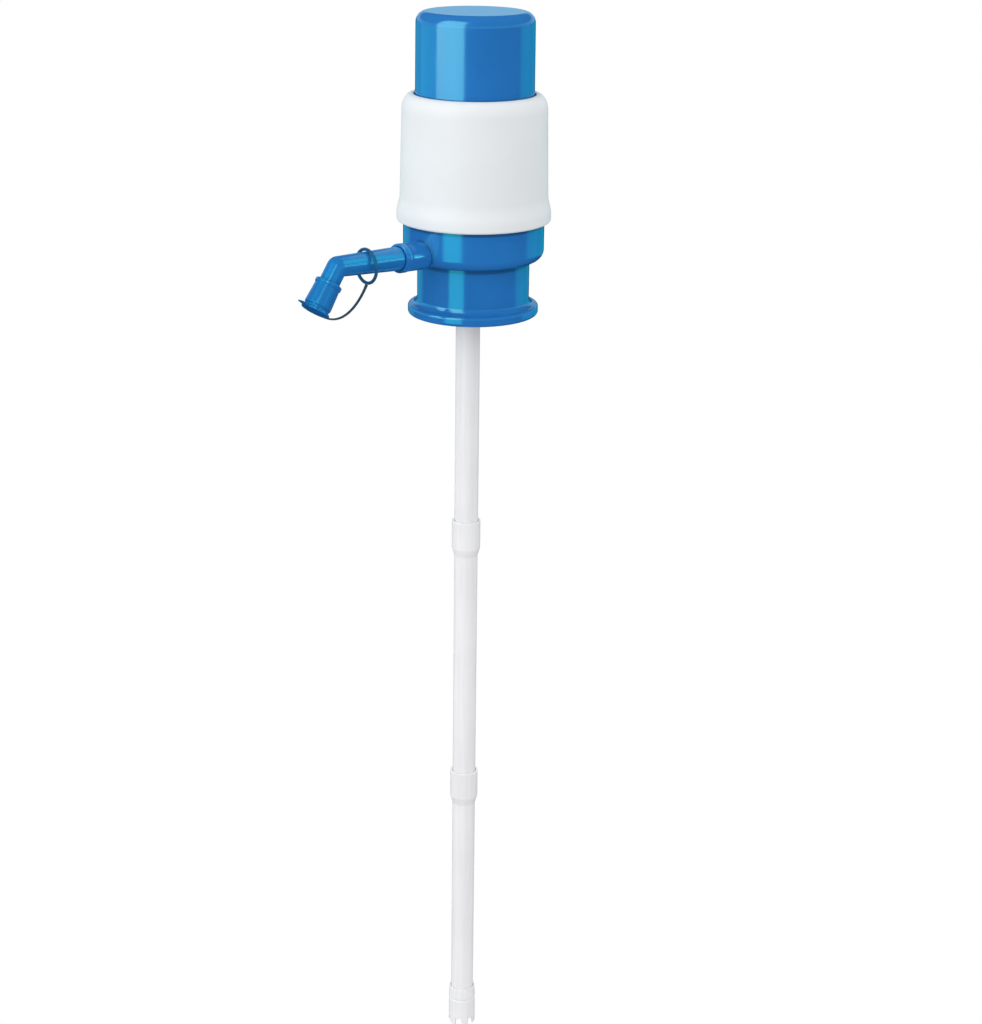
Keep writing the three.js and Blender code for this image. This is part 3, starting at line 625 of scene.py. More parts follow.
class PUMP_OT_press_cap(Operator):
    """Adds the blue cap that is pressed down, with its stop and the ribs under its crown"""
    bl_idname = "pump.press_cap"
    bl_label = "Press cap"

    def execute(self, context):
        head = context.scene.pump_head
        bore, ceiling = head.cap_radius - head.cap_wall, head.cap_top - head.cap_wall
        stop_drop, stop_thickness, ceiling_fillet = 0.0059, 0.0022, 0.0034
        stop_top = head.collar_top - stop_drop
        stop_foot = stop_top - stop_thickness
        reach = head.cap_radius + head.cap_flange
        shell = turned(rounded([
            (0, ceiling, 0),
            (bore, ceiling, ceiling_fillet),
            (bore, head.cap_foot),
            (head.cap_radius, head.cap_foot),
            (head.cap_radius, stop_foot),
            (reach, stop_foot),
            (reach, stop_top),
            (head.cap_radius, stop_top),
            (head.cap_radius - head.cap_draft, head.cap_top, head.cap_crown),
            (0, head.cap_top, 0),
        ], steps=10, closed=False))
        rib_half, rib_start, rib_depth, rib_clear = 0.0006, 0.008, 0.0015, 0.0025
        rib = block((rib_start, -rib_half, ceiling - rib_depth),
                    (bore - rib_clear, rib_half, ceiling + 0.001))
        piece("press_cap_shell", joined([shell] + spread(rib, range(0, 360, 45))), "press_cap",
              "gloss_blue", "press_cap")
        return {"FINISHED"}


class PUMP_OT_collar(Operator):
    """Adds the white sleeve, with its flared foot, rounded shoulder and guide lip"""
    bl_idname = "pump.collar"
    bl_label = "Collar"

    def execute(self, context):
        head = context.scene.pump_head
        seat_bore, skirt_bore = head.ring_radius - 0.0005, head.ring_radius + 0.0005
        wall, flare_foot, flare_top, skirt_top = 0.0019, 0.0264, 0.037, 0.0273
        lip_drop, lip_width, foot_fillet, lip_fillet = 0.0056, 0.0016, 0.0012, 0.0005
        shoulder = (head.collar_shoulder - head.shoulder_reach,
                    head.collar_top - head.shoulder_rise)
        t = np.linspace(0, 1, 13)
        flare = plain(head.collar_waist
                      + (head.collar_flare - head.collar_waist) * (1 + np.cos(np.pi * t)) / 2,
                      flare_foot + (flare_top - flare_foot) * t)
        lip_z = head.collar_top - lip_drop
        outline = rounded([
            (skirt_bore, head.collar_foot), (head.collar_flare, head.collar_foot, foot_fillet),
            *flare,
            *arc(shoulder, (head.shoulder_reach, head.shoulder_rise), 0, 90, 16),
            (head.collar_hole, head.collar_top, lip_fillet), (head.collar_hole, lip_z),
            (head.collar_hole + lip_width, lip_z),
            *arc(shoulder, (head.shoulder_reach - wall, head.shoulder_rise - wall), 78, 0, 8),
            (seat_bore, flare_top, 0), (seat_bore, skirt_top), (skirt_bore, skirt_top),
        ])
        piece("collar_shell", turned(outline), "head", "satin_white", "collar_sleeve")
        return {"FINISHED"}


def ring_surface(head, z):
    """Radius of the ring's outside at a height: straight, then an ellipse under it."""
    below = np.clip((head.ring_foot + RING_RISE - z) / RING_RISE, 0, 1)
    return head.ring_radius - head.ring_round * (1 - np.sqrt(1 - below ** 2))


def boss_skin(head, spout):
    """Boss along the arm: rows at places along the arm for every angle round it. The first rows
    lie on the ring's wall and leave it on a fillet, where the place is the wall's plus
    fillet (1 - cos t) and the radius is the boss's plus fillet (1 - sin t)."""
    angles = around(SEGMENTS)
    fillet, radius, end = spout.boss_fillet, spout.boss_radius, spout.boss_end
    rise, run = np.sin(spout.arm_slope), np.cos(spout.arm_slope)

    def wall(ring):
        x, up = ring * np.cos(angles), ring * np.sin(angles)
        z = spout.arm_height + rise * head.ring_radius + run * up
        return np.sqrt(np.maximum(ring_surface(head, z) ** 2 - x ** 2, 0)) / run + up * rise

    t = np.radians(np.linspace(0, 90, 9))[:, None]
    around_wall = np.broadcast_to(radius + fillet * (1 - np.sin(t)), (len(t), len(angles)))
    starts = np.stack([wall(ring) for ring in around_wall[:, :1].ravel()])
    starts = starts + fillet * (1 - np.cos(t))
    inside = np.broadcast_to(radius + fillet * 0.5, (1, len(angles)))
    bead, step, lean, edge = end - 0.0036, 0.0003, 0.0002, 0.0004
    socket, duct, sunk = end - 0.0122, 0.004, 0.0012
    rest = np.array([
        (end - 0.0052, radius), (bead - lean, radius), (bead, radius + step * 0.3),
        (bead + lean, radius + step), (end - edge, radius + step),
        (end - edge * 0.3, radius + step - edge * 0.3), (end, radius + step - edge),
        (end, spout.arm_root + EDGE), (end - EDGE, spout.arm_root),
        (socket, spout.arm_root), (socket, duct), (head.ring_radius - 0.003, duct),
    ])
    places = np.concatenate([wall(radius)[None] - sunk, starts,
                             np.repeat(rest[:, :1], len(angles), 1)])
    rings = np.concatenate([inside, around_wall, np.repeat(rest[:, 1:], len(angles), 1)])
    grid = np.stack([rings * np.cos(angles), rings * np.sin(angles), places], -1)
    return skin(placed(grid, arm_axes(spout)))


class PUMP_OT_base(Operator):
    """Adds the blue ring with its floor, air ports, ribs, duct, nipple and the spout's boss"""
    bl_idname = "pump.base"
    bl_label = "Base"

    def execute(self, context):
        scene = context.scene
        head, spout, tube = scene.pump_head, scene.pump_spout, scene.pump_tube
        floor_under, floor_top, seat, spigot_top = 0.0023, 0.0048, 0.027, 0.036
        spigot, spigot_bore = head.ring_radius - 0.0008, head.ring_radius - 0.003
        seat_out = head.waist_radius - head.waist_wall - GAP
        seat_in, seat_bead, bead_half, floor_round = seat_out - 0.0011, 0.0011, 0.0005, 0.003
        port_radius, port_place, foot = 0.0036, 0.014, head.ring_foot
        ring = turned(rounded([
            (0, floor_under, 0), (seat_in, floor_under, 0), (seat_in, GAP), (seat_out, GAP),
            (seat_out, seat_bead - bead_half, 0), (seat_out + 0.0004, seat_bead, 0.0002),
            (seat_out, seat_bead + bead_half, 0), (seat_out, foot, 0),
            *arc((head.ring_radius - head.ring_round, foot + RING_RISE),
                 (head.ring_round, RING_RISE), -90, 0, 14),
            (head.ring_radius, seat), (spigot, seat), (spigot, spigot_top),
            (spigot_bore, spigot_top), (spigot_bore, seat, 0),
            *arc((0.0311, floor_top + floor_round), (0.0034, floor_round), 0, -90, 8),
            (0, floor_top, 0),
        ], closed=False))
        port = moved(rod(port_radius, -0.002, 0.012, 32), (0, port_place, 0))
        nipple_end = floor_under - 0.016
        bore, crown, bore_crown, tip = tube.radius - 0.00185, 0.0054, 0.0036, 0.0004
        riser_hole = moved(rod(bore, nipple_end, 0.0035, 48), (0, tube.offset, 0))
        plate = drilled(ring, spread(port, (-50, 0, 50)) + [riser_hole])
        riser = moved(turned(rounded([
            (bore, nipple_end), (tube.radius, nipple_end, 0.0008),
            *arc((0, spout.arm_height), (tube.radius, crown), 0, 80, 8),
            (tip, spout.arm_height + 0.0053, 0), (tip, spout.arm_height + 0.0038, 0),
            *arc((0, spout.arm_height), (bore, bore_crown), 80, 0, 8),
        ]), SEGMENTS), (0, tube.offset, 0))
        duct_bore, duct_outside = 0.004, 0.0054
        duct_start, duct_end = -tube.offset + 0.002, head.ring_radius - 0.0015
        duct = turned(rounded([
            (duct_bore, duct_start, 0), (duct_outside, duct_start, 0),
            (duct_outside, duct_end, 0), (duct_bore, duct_end, 0),
        ]), SEGMENTS, arm_axes(spout))
        rib_half, rib_height = 0.00075, 0.0042
        rib = block((-tube.offset, -rib_half, floor_top - 0.0005),
                    (spigot_bore + 0.0006, rib_half, floor_top + rib_height))
        whole = joined([plate, riser, duct, boss_skin(head, spout)]
                       + spread(rib, (-30, 15, 65, 115, 165, 210)))
        piece("base_housing", whole, "head", "head_blue", "base_body")
        return {"FINISHED"}


class PUMP_OT_neck(Operator):
    """Adds the waist with its bell rim, the ribbed grip sleeve and the gasket"""
    bl_idname = "pump.neck"
    bl_label = "Neck"

    def execute(self, context):
        head = context.scene.pump_head
        waist, rim, foot = head.waist_radius, head.rim_radius, head.rim_foot
        bore, fillet = waist - head.waist_wall, head.rim_fillet
        rim_wall, rim_round, groove_half, stop = 0.0022, 0.0014, 0.0008, 0.0006
        rim_top = foot + 0.0051
        fillet_z = rim_top + fillet
        top = head.ring_foot - GAP
        groove = top - 0.0012
        outline = rounded([
            (rim - rim_wall, foot), (rim, foot, rim_round), (rim, rim_top, rim_round),
            *arc((waist + fillet, fillet_z), (fillet, fillet), 265, 180, 14),
            (waist, top), (bore, top, 0.0001), (bore, groove + groove_half, 0),
            (bore + 0.0004, groove, 0), (bore, groove - groove_half, 0),
            (bore, fillet_z + 0.0012, 0), (bore - stop, fillet_z + stop, 0),
            *arc((bore + fillet + head.waist_wall, fillet_z),
                 (fillet + head.waist_wall + stop, fillet + head.waist_wall), 180, 240, 10),
        ])
        piece("neck_bell", turned(outline), "head", "head_blue", "neck_skirt")
        crests, crest_height, grip_wall, grip_edge, points = 4, 0.0004, 0.0007, 0.0002, 97
        grip_out = bore - GAP
        grip_in = grip_out - grip_wall
        grip_foot = fillet_z + 0.0012 + GAP
        z = np.linspace(-GAP - 0.0004, grip_foot + 0.0004, points)
        pitch = (-GAP - grip_foot) / crests
        crest = np.cos(np.pi * (-GAP - z) / pitch - np.pi / 2) ** 8
        grip = rounded([
            (grip_in, grip_foot, grip_edge), (grip_out, grip_foot, grip_edge),
            (grip_out, -GAP, grip_edge), (grip_in, -GAP, grip_edge),
            *plain(grip_in - crest_height * crest, z)])
        piece("grip_sleeve", turned(grip, 96), "head", "seal_rubber", "neck_grip_sleeve")
        gasket_out, gasket_width = grip_in - crest_height - GAP, 0.0055
        gasket = washer(gasket_out - gasket_width, gasket_out, 0, 0.002, 0.0005, 6, 96)
        piece("rim_gasket", gasket, "head", "seal_rubber", "neck_gasket")
        return {"FINISHED"}


def umbrella(under, top):
    """Umbrella valve: a shallow dome, a stem through the plate and a bulb over it."""
    rim, bulb = under - GAP, top + GAP
    return turned(rounded([
        (0, rim - 0.0017, 0), (0.0055, rim - 0.0015, 0.004), (0.009, rim - 0.0004, 0.0003),
        (0.009, rim, 0.00015), (0.0013, rim, 0.0002), (0.0013, bulb, 0.0001),
        (0.0021, bulb, 0.0002), (0.0013, bulb + 0.0009, 0.0003), (0, bulb + 0.0009, 0),
    ], closed=False), SEGMENTS)


def air_holes(low, high):
    """Four round cutters about the valve's stem."""
    hole_radius, hole_place = 0.0018, 0.0056
    hole = moved(rod(hole_radius, low, high, 24), (hole_place, 0, 0))
    return spread(hole, range(45, 360, 90))


class PUMP_OT_air_parts(Operator):
    """Adds the bellows, its plates, clamp rings, seal and the two umbrella valves"""
    bl_idname = "pump.air_parts"
    bl_label = "Air parts"

    def execute(self, context):
        head = context.scene.pump_head
        deck_under, deck_top = 0.0376, 0.0397
        plate_top = head.cap_top - head.cap_wall - 0.0018
        plate_under = plate_top - 0.0022
        boss, boss_in, boss_rise = 0.0195, 0.0175, 0.0063
        lip, lip_in, lip_foot = (head.ring_radius - 0.0033, head.ring_radius - 0.0033 - 0.0018,
                                 deck_under - 0.0034)
        edge_radius = head.ring_radius - 0.0011
        deck = rounded([
            (VALVE_STEM, deck_under, 0.0001), (lip_in, deck_under, 0.0002),
            (lip_in, lip_foot), (lip, lip_foot),
            (lip, deck_under, 0.0002), (edge_radius, deck_under),
            (edge_radius, deck_top), (boss, deck_top),
            (boss, deck_top + boss_rise), (boss_in, deck_top + boss_rise),
            (boss_in, deck_top), (VALVE_STEM, deck_top, 0.0001),
        ], steps=3)
        piece("deck_plate", drilled(turned(deck, SEGMENTS), air_holes(0.035, 0.043)), "head",
              "satin_white", "valve_deck")
        plate_radius = head.cap_radius - head.cap_wall - 0.0025
        plate = rounded([
            (VALVE_STEM, plate_under, 0.0001), (boss_in, plate_under),
            (boss_in, plate_under - boss_rise), (boss, plate_under - boss_rise),
            (boss, plate_under), (plate_radius, plate_under),
            (plate_radius, plate_top), (VALVE_STEM, plate_top, 0.0001),
        ], steps=3)
        holes = air_holes(plate_under - 0.003, plate_top + 0.003)
        piece("bellows_plate", drilled(turned(plate, SEGMENTS), holes), "press_cap",
              "satin_white", "bellows_top_disc")
        piece("outlet_umbrella", umbrella(deck_under, deck_top), "head", "clear_silicone",
              "outlet_valve")
        piece("intake_umbrella", umbrella(plate_under, plate_top), "press_cap",
              "clear_silicone", "intake_valve")
        self.bellows(head, deck_top + GAP, plate_under - GAP, boss + GAP)
        clamp_bore, clamp_wall, clamp_height = boss + GAP + BELLOWS_WALL + GAP, 0.002, 0.0048
        for name, low, body, node in (
                ("clamp_ring_lower", deck_top + GAP, "head", "bellows_clamp_lower"),
                ("clamp_ring_upper", plate_under - GAP - clamp_height, "press_cap",
                 "bellows_clamp_upper")):
            ring = washer(clamp_bore, clamp_bore + clamp_wall, low, low + clamp_height, EDGE, 3)
            piece(name, ring, body, "satin_white", node)
        seal_in, seal_low, seal_height = head.ring_radius - 0.003, 0.0363, 0.001
        seal = washer(seal_in, edge_radius, seal_low, seal_low + seal_height, EDGE, 4)
        piece("deck_ring", seal, "head", "seal_rubber", "deck_seal")
        return {"FINISHED"}

    def bellows(self, head, foot, top, cuff):
        """Even folds between two cuffs: the outside's radius goes between the folds' inner and
        outer radius as a raised cosine of the height, and the inside follows a wall's
        thickness in from it."""
        cuff_height, fold_depth, fold_points = 0.0062, 0.005, 24
        outer = head.cap_radius - head.cap_wall - 0.0013
        inner = outer - fold_depth
        low, high = foot + cuff_height, top - cuff_height
        z = np.linspace(low, high, fold_points * head.folds + 1)
        wave = (1 - np.cos(2 * np.pi * head.folds * (z - low) / (high - low))) / 2
        outside = inner + (outer - inner) * wave ** 0.8
        outside[[0, -1]] = cuff + BELLOWS_WALL
        outline = rounded([
            (cuff, foot), (cuff + BELLOWS_WALL, foot),
            *plain(outside, z),
            (cuff + BELLOWS_WALL, top), (cuff, top),
            *plain(np.maximum(outside - BELLOWS_WALL, cuff), z)[::-1],
        ], steps=4)
        obj = piece("bellows_skin", turned(outline, 72), None, "bellows_milky", "bellows")
        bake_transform(obj)


def pipe_rows(spout, profile, radius, leg_places):
    """Rows of a bent pipe, for every angle round it. Along the arm and the leg a row is a ring
    of its radius. At the elbow each line along the pipe turns on an arc of its own: with n the
    outward normal as it turns from the arm's to the leg's and m their sum over 1 + their
    product, a point is corner + (up - bend) m + bend n + across x, where bend goes from the
    inner side's to the pipe's own radius."""
    angles = around(SEGMENTS)
    arm, leg = arm_axes(spout), leg_axes(spout)
    across, up = np.cos(angles)[:, None], np.sin(angles)[:, None]

    def straight(line, places, rings):
        along = np.array(places)[:, None, None] * line[:3, 2]
        ring = np.array(rings)[:, None, None] * (across * ACROSS + up * line[:3, 1])
        return line[:3, 3] + along + ring

    first, last = arm[:3, 1], leg[:3, 1]
    bend = np.arccos(first @ last)
    m = (first + last) / (1 + first @ last)
    turn = ELBOW_INSIDE + (radius - ELBOW_INSIDE) * (1 + up) / 2
    t = np.linspace(0, 1, 13)[:, None, None]
    n = turning(first, last, bend, t)
    elbow = leg[:3, 3] + (radius * up - turn) * m + turn * n + radius * across * ACROSS
    places, rings = np.array(profile).T
    return np.concatenate([straight(arm, places, rings), elbow,
                           straight(leg, leg_places, [radius] * len(leg_places))])


class PUMP_OT_spout(Operator):
    """Adds the bent spout, its plug in the boss and the seal ring on it"""
    bl_idname = "pump.spout"
    bl_label = "Spout"

    def execute(self, context):
        spout = context.scene.pump_spout
        start, shoulder = spout.boss_end - 0.0119, spout.boss_end + GAP
        plug, arm_stop, leg_start = spout.arm_root - GAP, spout.elbow - 0.0075, 0.0065
        groove_depth, groove_width, chamfer, relief, ledge = 0.001, 0.0018, 0.0004, 0.0001, 0.0002
        groove, groove_low = plug - groove_depth, start + 0.0045
        groove_high = groove_low + groove_width
        taper = np.linspace(shoulder + 0.0006, arm_stop, 9)
        run = (taper - shoulder) / (spout.elbow - shoulder)
        arm = [(start, plug - chamfer), (start + chamfer, plug), (groove_low - relief, plug),
               (groove_low, plug - relief), (groove_low, groove), (groove_high, groove),
               (groove_high, plug - relief), (groove_high + relief, plug), (shoulder, plug),
               (shoulder, spout.arm_root - ledge), (shoulder + ledge, spout.arm_root)]
        arm += np.stack([taper, spout.arm_root
                         + (spout.leg_radius - spout.arm_root) * run], 1).tolist()
        end = spout.leg_length
        outside = pipe_rows(spout, arm, spout.leg_radius,
                            [leg_start, 0.009, 0.014, end - 0.001, end - EDGE])
        lip = pipe_rows(spout, arm[:1], spout.leg_radius - EDGE, [end])
        inside = pipe_rows(spout, [(start, spout.bore), (arm_stop, spout.bore)], spout.bore,
                           [leg_start, end])
        grid = np.concatenate([outside, lip[-1:], inside[::-1]])
        piece("spout_tube", skin(grid), "spout", "pipe_blue", "spout_pipe")
        line = arm_axes(spout)
        line[:3, 3] += line[:3, 2] * (groove_low + groove_high) / 2
        seal_section = 0.00045
        ring = torus((groove + spout.arm_root) / 2, seal_section, 48, 12, line)
        piece("spout_seal", ring, "spout", "seal_rubber", "spout_o_ring")
        return {"FINISHED"}


class PUMP_OT_outlet_cap(Operator):
    """Adds the cap over the spout's mouth, with its bead, flange and thumb tab"""
    bl_idname = "pump.outlet_cap"
    bl_label = "Outlet cap"

    def execute(self, context):
        spout = context.scene.pump_spout
        bore = spout.leg_radius + GAP
        mouth, bead, bead_height, swell = bore + 0.00095, 0.00045, 0.0018, 0.00055
        swell_drop, swell_fillet, flange_fillet = 0.0012, 0.0008, 0.0004
        end = spout.leg_length + GAP
        top = end - spout.cap_depth
        groove, far = end - 0.001, end + spout.flange_thickness
        flange = spout.cap_flange
        outline = rounded([
            (0, end, 0), (bore, end), (bore, top),
            (mouth + bead, top), (mouth + bead, top + bead_height),
            (mouth, top + bead_height + bead),
            (mouth + swell, groove - swell_drop, swell_fillet), (mouth, groove), (mouth, end),
            (flange, end, flange_fillet), (flange, far, flange_fillet), (0, far, 0),
        ], steps=4, closed=False)

        def with_tab(grid, angles):
            """The flange's edge stands out over the angles of the tab, on the upper side."""
            tab_half, tab_ease = 0.2, 0.1
            off = np.abs((angles - np.pi / 2 + np.pi) % (2 * np.pi) - np.pi)
            out = spout.tab_reach * (1 - np.clip((off - tab_half) / tab_ease, 0, 1) ** 2) ** 2
            radius = np.linalg.norm(grid[..., :2], axis=-1, keepdims=True)
            edge = np.clip((radius - mouth - swell) / (flange - mouth - swell), 0, 1)
            ring = np.stack([np.cos(angles), np.sin(angles)], -1)
            grid[..., :2] += edge ** 4 * out[None, :, None] * ring
            return grid

        piece("outlet_cap", turned(outline, 144, leg_axes(spout), with_tab), "nozzle_cap",
              "cap_blue", "nozzle_cap")
        return {"FINISHED"}


def hoop_centre(spout):
    """The hoop hangs on the arm: its bore's top rests just over the arm's upper side."""
    at = np.array([0, 0, spout.arm_height]) + arm_direction(spout) * spout.hoop_place
    run = (spout.hoop_place - spout.boss_end) / (spout.elbow - spout.boss_end)
    arm_radius = spout.arm_root + (spout.leg_radius - spout.arm_root) * run
    return at + np.array([0, 0, arm_radius + GAP - spout.hoop_radius + spout.hoop_section])


class PUMP_OT_tether(Operator):
    """Adds the loose hoop on the arm and the strap from it to the outlet cap"""
    bl_idname = "pump.tether"
    bl_label = "Tether"

    def execute(self, context):
        spout = context.scene.pump_spout
        centre, turn = hoop_centre(spout), spout.hoop_turn
        line = np.eye(4)
        line[:3, :3] = [(np.cos(turn), 0, np.sin(turn)), (np.sin(turn), 0, -np.cos(turn)),
                        (0, 1, 0)]
        line[:3, 3] = centre
        piece("tether_hoop", torus(spout.hoop_radius, spout.hoop_section, 96, 20, line),
              "tether", "hoop_blue", "tether_ring")
        self.strap(spout, centre)
        return {"FINISHED"}

    def strap(self, spout, centre):
        """Thin band along a cubic curve from the hoop's lowest point to the flange's near edge.
        Its section is a flattened superellipse, wider at both ends."""
        leg = leg_axes(spout)
        middle = spout.leg_length + GAP + spout.flange_thickness / 2
        edge = leg[:3, 3] + leg[:3, 2] * middle - leg[:3, 1] * (spout.cap_flange + GAP / 2)
        root = centre - np.array([0, 0, spout.hoop_radius + spout.hoop_section + GAP / 2])
        sag_from_hoop, sag_to_cap = (0, -0.0052, -0.0092), (0, 0.0118, -0.0061)
        knots = np.array([root, root + sag_from_hoop, edge + sag_to_cap, edge])
        t = np.linspace(0, 1, 61)[:, None]
        path = ((1 - t) ** 3 * knots[0] + 3 * (1 - t) ** 2 * t * knots[1]
                + 3 * (1 - t) * t ** 2 * knots[2] + t ** 3 * knots[3])
        along = unit(np.gradient(path, axis=0))
        through = unit(np.cross(along, ACROSS))
        angle, squareness, end_width, end_share = around(20), 0.6, 0.18, 0.05
        c, s = np.cos(angle), np.sin(angle)
        oval = np.stack([np.sign(c) * np.abs(c) ** squareness,
                         np.sign(s) * np.abs(s) ** squareness], 1)
        swell = (1 - end_width) + end_width * (np.exp(-t / end_share)
                                               + np.exp((t - 1) / end_share))
        half = np.array([spout.strap_width, spout.strap_thickness]) / 2
        wide = (oval[:, 0] * half[0] * swell)[..., None] * ACROSS
        deep = (oval[:, 1] * half[1] * swell)[..., None] * through[:, None]
        rows = path[:, None] - wide + deep
        ends = np.repeat(path[[0, -1]][:, None], len(angle), 1)
        band = skin(np.concatenate([ends[:1], rows, ends[1:]]), poles=True)
        obj = piece("tether_band", band, None, "strap_blue", "tether_strap")
        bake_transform(obj)


class PUMP_OT_tubes(Operator):
    """Adds the three belled tube sections and the notched foot"""
    bl_idname = "pump.tubes"
    bl_label = "Tubes"

    def execute(self, context):
        tube = context.scene.pump_tube
        bore, bell = tube.radius - tube.wall, tube.radius + GAP
        bell_out, taper_foot, taper_top, mouth = bell + tube.bell_wall, 0.002, 0.003, 0.0005
        for name in ("tube_upper", "tube_middle", "tube_lower"):
            low, high = (corner.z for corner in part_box(name))
            bell_foot = high - tube.bell_depth
            outline = rounded([
                (bore, low), (tube.radius, low),
                (tube.radius, bell_foot - tube.bell_taper, taper_foot),
                (bell_out, bell_foot, taper_top), (bell_out, high, mouth), (bell, high),
                (bell, bell_foot), (bore, bell_foot - tube.bell_wall),
            ])
            part = moved(turned(outline, SEGMENTS), (0, tube.offset, 0))
            piece("dip_" + name, part, name, "milky_tube", name)
        self.foot(tube, bore, bell)
        return {"FINISHED"}

    def foot(self, tube, bore, bell):
        """Slip-on end with a groove. Its lower edge is cut by notches: points near the edge
        rise where the angle falls in a notch."""
        low, high = (corner.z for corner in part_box("tube_foot"))
        outer, edge = bell + tube.foot_wall, 0.0002
        groove_top, groove_width, groove_depth = low + 0.0172, 0.0011, 0.0004
        stop, stop_width = low + 0.0094, 0.0014
        outline = rounded([
            (bell, low, edge), (outer, low), (outer, low + 0.0055, 0),
            (outer, groove_top - groove_width, edge),
            (outer - groove_depth, groove_top - groove_width, edge),
            (outer - groove_depth, groove_top, edge), (outer, groove_top, edge),
            (outer, high - 0.006, 0.002), (bell + 0.0005, high, edge), (bell, high, 0.0001),
            (bell, stop, edge), (bore, stop, edge), (bore, stop - stop_width, edge),
            (bell, stop - stop_width - tube.foot_wall, edge),
        ], steps=4)
        half, lean, notch_depth, notch_reach = 0.0018 / outer, 0.02, 0.0043, 0.0038
        pitch = 2 * np.pi / tube.notches
        marks = np.array([-half - lean, -half, half, half + lean])
        cuts = (pitch * np.arange(tube.notches)[:, None] + marks).ravel() % (2 * np.pi)
        angles = np.unique(np.round(np.concatenate([around(96), cuts]), 9))

        def notched(grid, angles):
            off = np.abs((angles + pitch / 2) % pitch - pitch / 2)
            depth = notch_depth * np.clip((half + lean - off) / lean, 0, 1)
            share_moved = np.clip((low + notch_reach - grid[..., 2]) / notch_reach, 0, 1)
            grid[..., 2] += depth * share_moved
            return grid

        part = moved(turned(outline, angles, None, notched), (0, tube.offset, 0))
        piece("dip_tube_foot", part, "tube_lower", "milky_tube", "tube_foot")


# Stage

# Pieces that a soft box shows in
BOSS = ("base_housing",)
HEAD = BOSS + ("press_cap_shell", "collar_shell", "neck_bell", "dip_tube_upper",
               "dip_tube_middle", "dip_tube_lower", "dip_tube_foot")
ARM = ("spout_tube", "outlet_cap", "tether_hoop", "tether_band")


def point_on(turn, distance, z):
    """Point at a turn about Z from the front, +X being a quarter turn on."""
    return Vector((distance * np.sin(turn), -distance * np.cos(turn), z))


def soft_box(name, turn, width, low, high, distance, radiance, seen_in, tone=(1, 1, 1)):
    """Upright area lamp that faces the pump's axis. It shows either in reflections only or in
    the light on matt surfaces only, and never to the camera."""
    lamp = bpy.data.lights.new(name, "AREA")
    lamp.shape, lamp.size, lamp.size_y = "RECTANGLE", width, high - low
    lamp.energy = radiance * np.pi * width * (high - low)
    lamp.color = tone
    obj = bpy.data.objects.new(name, lamp)
    bpy.context.scene.collection.objects.link(obj)
    obj.location = point_on(turn, distance, (low + high) / 2)
    obj.rotation_euler = Vector((-obj.location.x, -obj.location.y, 0)).to_track_quat(
        "-Z", "Y").to_euler()
    obj.visible_camera = False
    obj.visible_diffuse = seen_in == "diffuse"
    obj.visible_glossy = seen_in == "glossy"
    return obj


def collection(name, pieces):
    """A collection of pieces, for a lamp that shows in no others."""
    group = bpy.data.collections.new(name)
    for piece_name in pieces:
        group.objects.link(bpy.data.objects[piece_name])
    return group


